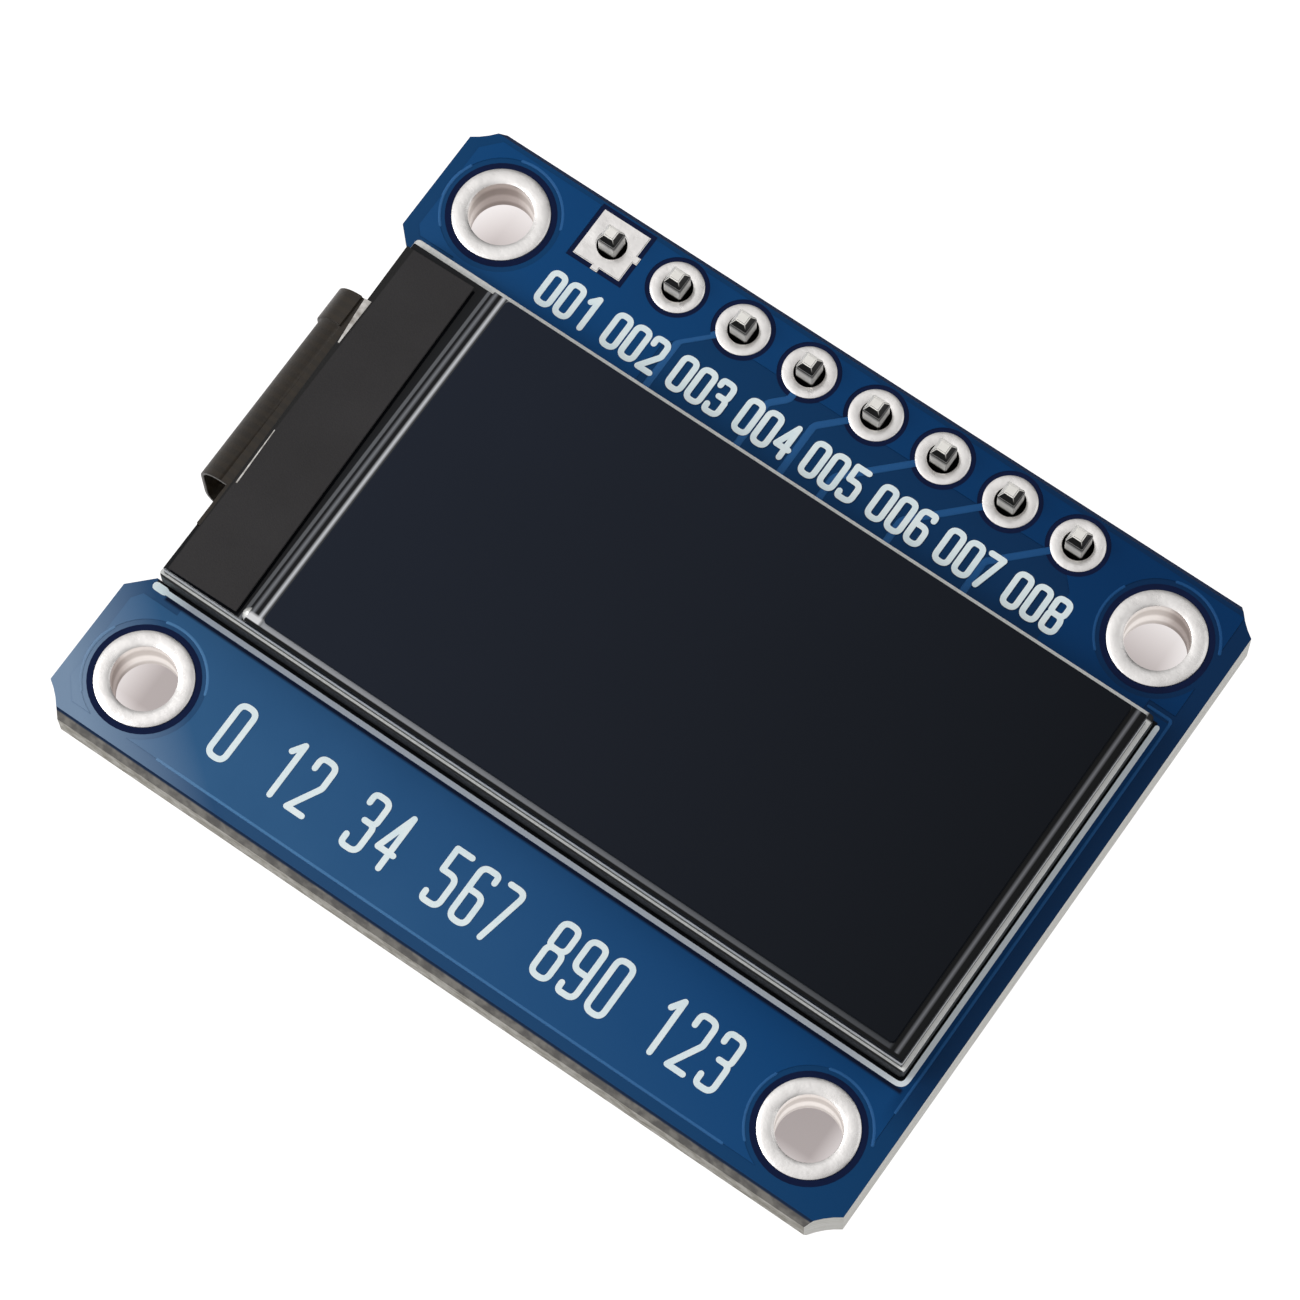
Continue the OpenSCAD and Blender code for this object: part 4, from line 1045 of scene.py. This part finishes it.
PASTE_LEFT, PASTE_RIGHT, PASTE_HIGH = 0.1, 0.54, 0.12
RIM_STARTS, RIM_FULL = 0.12, 0.09
SCREEN_FAR_SHADE_TONE = "0e1219"


def make_glass_finish(name, face_tones, side_tones):
    """Dark polished faces, frosted sides."""
    material = finish(name, face_tones, spot=2.0, grain=0.3, rough=(0.08, 0.14), specular=0.12)
    tree = material.node_tree
    side = facing(tree, "Z", *SIDE_FACES)
    repaint(tree, side, blend(tree, grain_of(tree), *side_tones))
    rougher(tree, product(tree, side, FROST_ROUGH))
    return material


def make_lower_glass_finish():
    """A grey line on the ledge, a little way off the upper glass."""
    material = make_glass_finish("lower_glass", ("0e0f12", "131519"), ("ced1d4", "e4e6e8"))
    tree = material.node_tree
    line = close_to(tree, "X", glass_low.x - STEP_AWAY, STEP_HALF, STEP_HALF - STEP_SOFT)
    repaint(tree, product(tree, line, facing(tree, "Z", *TOP_FACES)), STEP_TONE)
    return material


def make_upper_glass_finish():
    """Pale lines in the margin at the left, a painted reflection in the margin that greys and dims to the
    right, and paste on the near corner, painted bright as a highlight.
    """
    material = make_glass_finish("upper_glass", ("6d7078", "7b7e86"), ("0b0c0e", "16181b"))
    tree = material.node_tree
    bands = [(glass_low.x + x, code) for x, code in LEFT_BANDS]
    bands += [(film_low.x, DARK), (film_low.x + FILM_START, FILM_STARTED), (0.0, MIDDLE_REFLECTION_TONE)]
    bands += [(film_high.x + x, code) for x, code in RIGHT_BANDS]
    bands += [(glass_high.x, RIM_TONE)]
    ramp = put(tree, "ShaderNodeValToRGB")
    feed(tree, ramp.inputs[0], past(tree, "X", glass_low.x, glass_high.x))
    stops = ramp.color_ramp.elements
    for i, (x, code) in enumerate(bands):
        stop = stops[i] if i < 2 else stops.new(1.0)
        stop.position = (x - glass_low.x) / (glass_high.x - glass_low.x)
        stop.color = tone(code)
    # The margin's greys, dimming to the right, are a painted reflection.
    repaint(tree, facing(tree, "Z", *TOP_FACES), ramp.outputs[0])
    # The bright patch on the near corner is paste, painted brighter as a highlight.
    paste_low = (glass_low.x - PASTE_LEFT, glass_low.y)
    paste_high = (glass_low.x + PASTE_RIGHT, film_low.y + PASTE_HIGH)
    repaint(tree, front_field(tree, paste_low, paste_high, PASTE_SOFT), PASTE_HIGHLIGHT_TONE)
    repaint(tree, past(tree, "Y", glass_low.y + RIM_STARTS, glass_low.y + RIM_FULL), RIM_TONE)
    return material


def make_screen_finish():
    """Dark glossy film, bluer at the end nearer the ledge and painted darker towards the other, as shade
    where the light falls off.
    """
    material = finish("screen_film", ("1b212d", "1d2330"), spot=9.0, grain=1.5, rough=(0.05, 0.10),
                      specular=0.07)
    tree = material.node_tree
    repaint(tree, past(tree, "X", film_low.x, film_high.x), SCREEN_FAR_SHADE_TONE)
    return material


dress(finish("lower_film", ("1b1d21", "24262b"), spot=2.0, grain=0.2, rough=(0.2, 0.3), specular=0.2),
      "lower_polarizer")
softened("tft_glass", "lower_glass", make_lower_glass_finish(), radius=0.02)
softened("colour_filter_glass", "upper_glass", make_upper_glass_finish(), radius=0.02)
softened("upper_polarizer", "screen_film", make_screen_finish(), radius=0.03)
dress(finish("driver_silicon", ("34363d", "42454d"), spot=1.0, grain=0.2, rough=(0.15, 0.25)),
      "driver_chip")

# Ledge tape
# Matt black tape laid over the driver chip and the end of the flex on the glass ledge,
# with painted shade darkening it where it turns down at the left end.
TURNED_SHADE_TONE, TURNED_SHADE_WIDE, TURNED_SHADE_SOFT = "0b0a0a", 0.28, 0.04
tape_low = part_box("ledge_tape")[0] / MM
tape_finish = finish("matt_tape", ("222021", "2a2829"), spot=3.0, grain=0.05, rough=(0.55, 0.7),
                     depth=0.003, specular=0.3)
tape_tree = tape_finish.node_tree
tape_shade_from = tape_low.x + TURNED_SHADE_WIDE
# Painted shade along the tape's left end.
repaint(tape_tree, past(tape_tree, "X", tape_shade_from, tape_shade_from - TURNED_SHADE_SOFT), TURNED_SHADE_TONE)
softened("ledge_tape", "ledge_cover", tape_finish, radius=0.02)

# Silver paste
# A dot of conductive paste that ties the coating of the upper glass to the ledge,
# put down wet and left to set.
dress(finish("silver_paste", ("d8d8d6", "f2f2f0"), spot=0.2, grain=0.06, rough=(0.35, 0.55), depth=0.004,
             metallic=0.5), "shield_paste_dot")

# Flex tail
# Brown film with printed copper lines, bonded to the glass ledge, bent round the notch of the board
# and soldered by thirteen tinned fingers to the pads on the back. Two thin pale slivers, one beside
# the thick ear and a fine line lower down along the tape, are painted highlights.
COPPER_LINE_TONE, COPPER_LINE_PITCH = "30271b", 0.35
COPPER_LINE_SPREAD, COPPER_LINE_SHOWS = (-0.1, 0.3), 0.35
SLIVER_BELOW, SLIVER_THICK = 0.03, 0.1
HIGHLIGHT_SLIVERS = [[(-13.79, 2.6), (-13.74, 2.6), (-13.72, 4.3), (-13.96, 4.28), (-13.9, 3.6)],
                 [(-13.63, -3.0), (-13.58, -3.0), (-13.65, -0.9), (-13.68, -0.9)]]


def make_flex_finish():
    """Fine copper lines show faintly through the cover film."""
    material = finish("flex_film", ("1f1912", "261f17"), spot=1.8, grain=0.08, rough=(0.32, 0.45),
                      depth=0.002, specular=0.3)
    tree = material.node_tree
    turns = product(tree, along(tree, "Y"), 2 * math.pi / (COPPER_LINE_PITCH * MM))
    lines = remap(tree, sum_of(tree, "SINE", turns), *COPPER_LINE_SPREAD, 0.0, COPPER_LINE_SHOWS)
    repaint(tree, lines, COPPER_LINE_TONE)
    return material


softened("flex_tail", "flex_ribbon", make_flex_finish(), radius=0.015)
dress(tin_finish, "flex_fingers", "flex_solder_pads", "flex_solder_joints")
highlight_sliver_finish = finish("pale_backing", ("8c857e", "efece8"), spot=0.35, grain=0.08, rough=(0.4, 0.6),
                        depth=0.002)
on_board(raised_sheet("flex_backing_edge", HIGHLIGHT_SLIVERS, [], tape_low.z - SLIVER_BELOW, SLIVER_THICK,
                      highlight_sliver_finish))

# Small parts on the back
# A regulator and a transistor in moulded black packages, ceramic capacitors and resistors,
# placed by machine on printed solder and reflowed.
package_finish = finish("moulded_package", ("161618", "202022"), spot=0.8, grain=0.05, rough=(0.5, 0.7),
                        depth=0.005, specular=0.4)
capacitor_finish = finish("capacitor_ceramic", ("a17a50", "b58d62"), spot=0.5, grain=0.06, rough=(0.4, 0.6),
                          depth=0.003)
resistor_finish = finish("resistor_coat", ("1a1a1c", "242426"), spot=0.5, grain=0.06, rough=(0.3, 0.45),
                         depth=0.002)
lead_finish = finish("tinned_lead", ("c6c6c2", "d6d6d2"), spot=0.5, grain=0.12, rough=(0.2, 0.36),
                     depth=0.002, metallic=1.0)
softened("regulator_body", "regulator_case", package_finish, radius=0.04)
softened("transistor_body", "transistor_case", package_finish, radius=0.04)
softened("capacitor_bodies", "capacitor_blocks", capacitor_finish, radius=0.03)
softened("resistor_bodies", "resistor_blocks", resistor_finish, radius=0.02)
dress(lead_finish, "regulator_leads", "transistor_leads", "capacitor_end_caps", "resistor_end_caps")
dress(tin_finish, "component_lands", "component_solder_joints")

# Printed marks
# Bluish white ink screened on the mask: the panel's place in a thin line, a plain number at each pin,
# a plain row of numbers along the lower edge, and the places of the parts on the back.
INK_RISE = 0.018
INK_WIDE = 0.2
FIGURE_CORNER = 0.45
SHARPEST_ROUND = math.radians(75)
INK_SHADE_TONE, INK_SHADE_SOFT = "a6afbc", 0.03
INK_SHADE_BELOW, INK_SHADE_RIGHT, INK_SHADE_ABOVE = 0.4, 0.4, 0.2
INK_SHADE_BLENDS = ((panel_low.x, panel_high.x, "bfc7d1"), (panel_high.x - 2.0, panel_high.x, "e8f1f7"),
               (panel_low.x + 1.4, panel_low.x + 0.2, "e6f7fc"))
FIGURES = {
    "0": [[(0, 0.5), (0, 0), (1, 0), (1, 1), (0, 1), (0, 0.5)]],
    "1": [[(0.2, 0.8), (0.65, 1), (0.65, 0)]],
    "2": [[(0, 0.78), (0, 1), (1, 1), (1, 0.56), (0, 0), (1, 0)]],
    "3": [[(0, 0.82), (0, 1), (1, 1), (1, 0.53), (0.35, 0.53)],
          [(0.35, 0.53), (1, 0.53), (1, 0), (0, 0), (0, 0.18)]],
    "4": [[(0.74, 0), (0.74, 1), (0, 0.3), (1, 0.3)]],
    "5": [[(1, 1), (0.06, 1)], [(0.06, 1), (0.06, 0.58)],
          [(0.06, 0.58), (1, 0.58), (1, 0), (0, 0), (0, 0.14)]],
    "6": [[(1, 0.86), (1, 1), (0, 1), (0, 0), (1, 0), (1, 0.56), (0, 0.56)]],
    "7": [[(0, 1), (1, 1), (0.3, 0)]],
    "8": [[(0, 0.7), (0, 0.53), (1, 0.53), (1, 1), (0, 1), (0, 0.7)],
          [(0, 0.3), (0, 0), (1, 0), (1, 0.53), (0, 0.53), (0, 0.3)]],
    "9": [[(0, 0.14), (0, 0), (1, 0), (1, 1), (0, 1), (0, 0.44), (1, 0.44)]],
    " ": [],
}


def make_ink_finish():
    """White ink, painted greyer on and near the panel's line as the panel's shade."""
    material = finish("white_ink", ("e6f7fc", "f4feff"), spot=0.5, grain=0.05, rough=(0.5, 0.7),
                      depth=0.002)
    tree = material.node_tree
    shaded_ink = tone(INK_SHADE_TONE)
    for start, end, code in INK_SHADE_BLENDS:
        shaded_ink = blend(tree, past(tree, "X", start, end), shaded_ink, code)
    low = (panel_low.x, panel_low.y - INK_SHADE_BELOW)
    high = (panel_high.x + INK_SHADE_RIGHT, panel_high.y + INK_SHADE_ABOVE)
    # Painted shade on the ink near the panel.
    repaint(tree, front_field(tree, low, high, INK_SHADE_SOFT), shaded_ink)
    return material


def rounded(route, radius, steps=6):
    """A route with its corners rounded, but for the sharp ones."""
    points = [Vector(p) for p in route]
    made = [points[0]]
    for before, corner, after in zip(points, points[1:], points[2:]):
        back, ahead = before - corner, after - corner
        opening = back.angle(ahead)
        reach = min(radius / math.tan(opening / 2), 0.5 * back.length, 0.5 * ahead.length)
        if opening < SHARPEST_ROUND:
            made.append(corner)
            continue
        start, end = corner + back.normalized() * reach, corner + ahead.normalized() * reach
        for i in range(steps + 1):
            t = i / steps
            made.append(start * (1 - t) ** 2 + corner * 2 * t * (1 - t) + end * t ** 2)
    return made + [points[-1]]


def inked(route, wide, steps=5):
    """The outlines of a stroke: one with round ends for each piece of its route."""
    made = []
    for a, b in zip(route, route[1:]):
        way = math.atan2(b[1] - a[1], b[0] - a[0])
        outline = []
        for end, turn in ((b, way - math.pi / 2), (a, way + math.pi / 2)):
            for i in range(steps + 1):
                angle = turn + math.pi * i / steps
                outline.append((end[0] + wide / 2 * math.cos(angle), end[1] + wide / 2 * math.sin(angle)))
        made.append(outline)
    return made


def figures(text, left, low, wide, high, pace):
    """Outlines of a row of figures, from its lower left corner."""
    made = []
    for place, sign in enumerate(text):
        for stroke in FIGURES[sign]:
            route = [(left + place * pace + x * wide, low + y * high) for x, y in stroke]
            made += inked(rounded(route, FIGURE_CORNER * wide), INK_WIDE)
    return made


PANEL_LINE, PANEL_LINE_CORNER = 0.17, 0.3
PANEL_LINE_BELOW, PANEL_LINE_RIGHT = 0.18, 0.15
PANEL_LINE_STARTS, PANEL_LINE_STOPS = 0.03, 0.06
THICK_START, THICK_LINE = 0.3, 0.28
FIGURES_LEFT = 0.95
BACK_LINE, BACK_LINE_GAP = 0.14, 0.27
HEADER_LINE_MORE, HEADER_LINE_BELOW = 1.27, 1.37
line_y, line_x = panel_low.y - PANEL_LINE_BELOW, panel_high.x + PANEL_LINE_RIGHT
panel_corner = [(panel_low.x - PANEL_LINE_STARTS, line_y), (line_x, line_y),
                (line_x, panel_high.y - PANEL_LINE_STOPS)]
panel_outlines = inked(rounded(panel_corner, PANEL_LINE_CORNER), PANEL_LINE)
panel_outlines += inked([(panel_low.x, line_y), (panel_low.x + THICK_START, line_y)], THICK_LINE)
pin_outlines = []
for i, x in enumerate(pin_xs):
    pin_outlines += figures("00" + str(i + 1), x - FIGURES_LEFT, low=7.75, wide=0.46, high=1.15, pace=0.72)
row_outlines = figures("0 12 34 567 890 123", -9.5, low=-10.3, wide=0.58, high=1.9, pace=1.02)
header_line_y = header_y - HEADER_LINE_BELOW
header_line = [(pin_xs[0] - HEADER_LINE_MORE, header_line_y),
               (pin_xs[-1] + HEADER_LINE_MORE, header_line_y)]
back_outlines = inked(header_line, BACK_LINE)
for node in ("capacitor_bodies", "resistor_bodies", "regulator_body", "transistor_body"):
    for low, high in islands(node):
        for x in (low.x - BACK_LINE_GAP, high.x + BACK_LINE_GAP):
            back_outlines += inked([(x, low.y), (x, high.y)], BACK_LINE)
ink_finish = make_ink_finish()
print_parts = [
    raised_sheet(name, outlines, [], front_level + COPPER_RISE, INK_RISE, ink_finish)
    for name, outlines in (("panel_lines", panel_outlines), ("pin_figures", pin_outlines),
                           ("row_figures", row_outlines))]
print_parts.append(
    raised_sheet("part_lines", back_outlines, [], back_level - COPPER_RISE, -INK_RISE, ink_finish))
on_board(show("board_print", merged("board_print", print_parts), ink_finish))
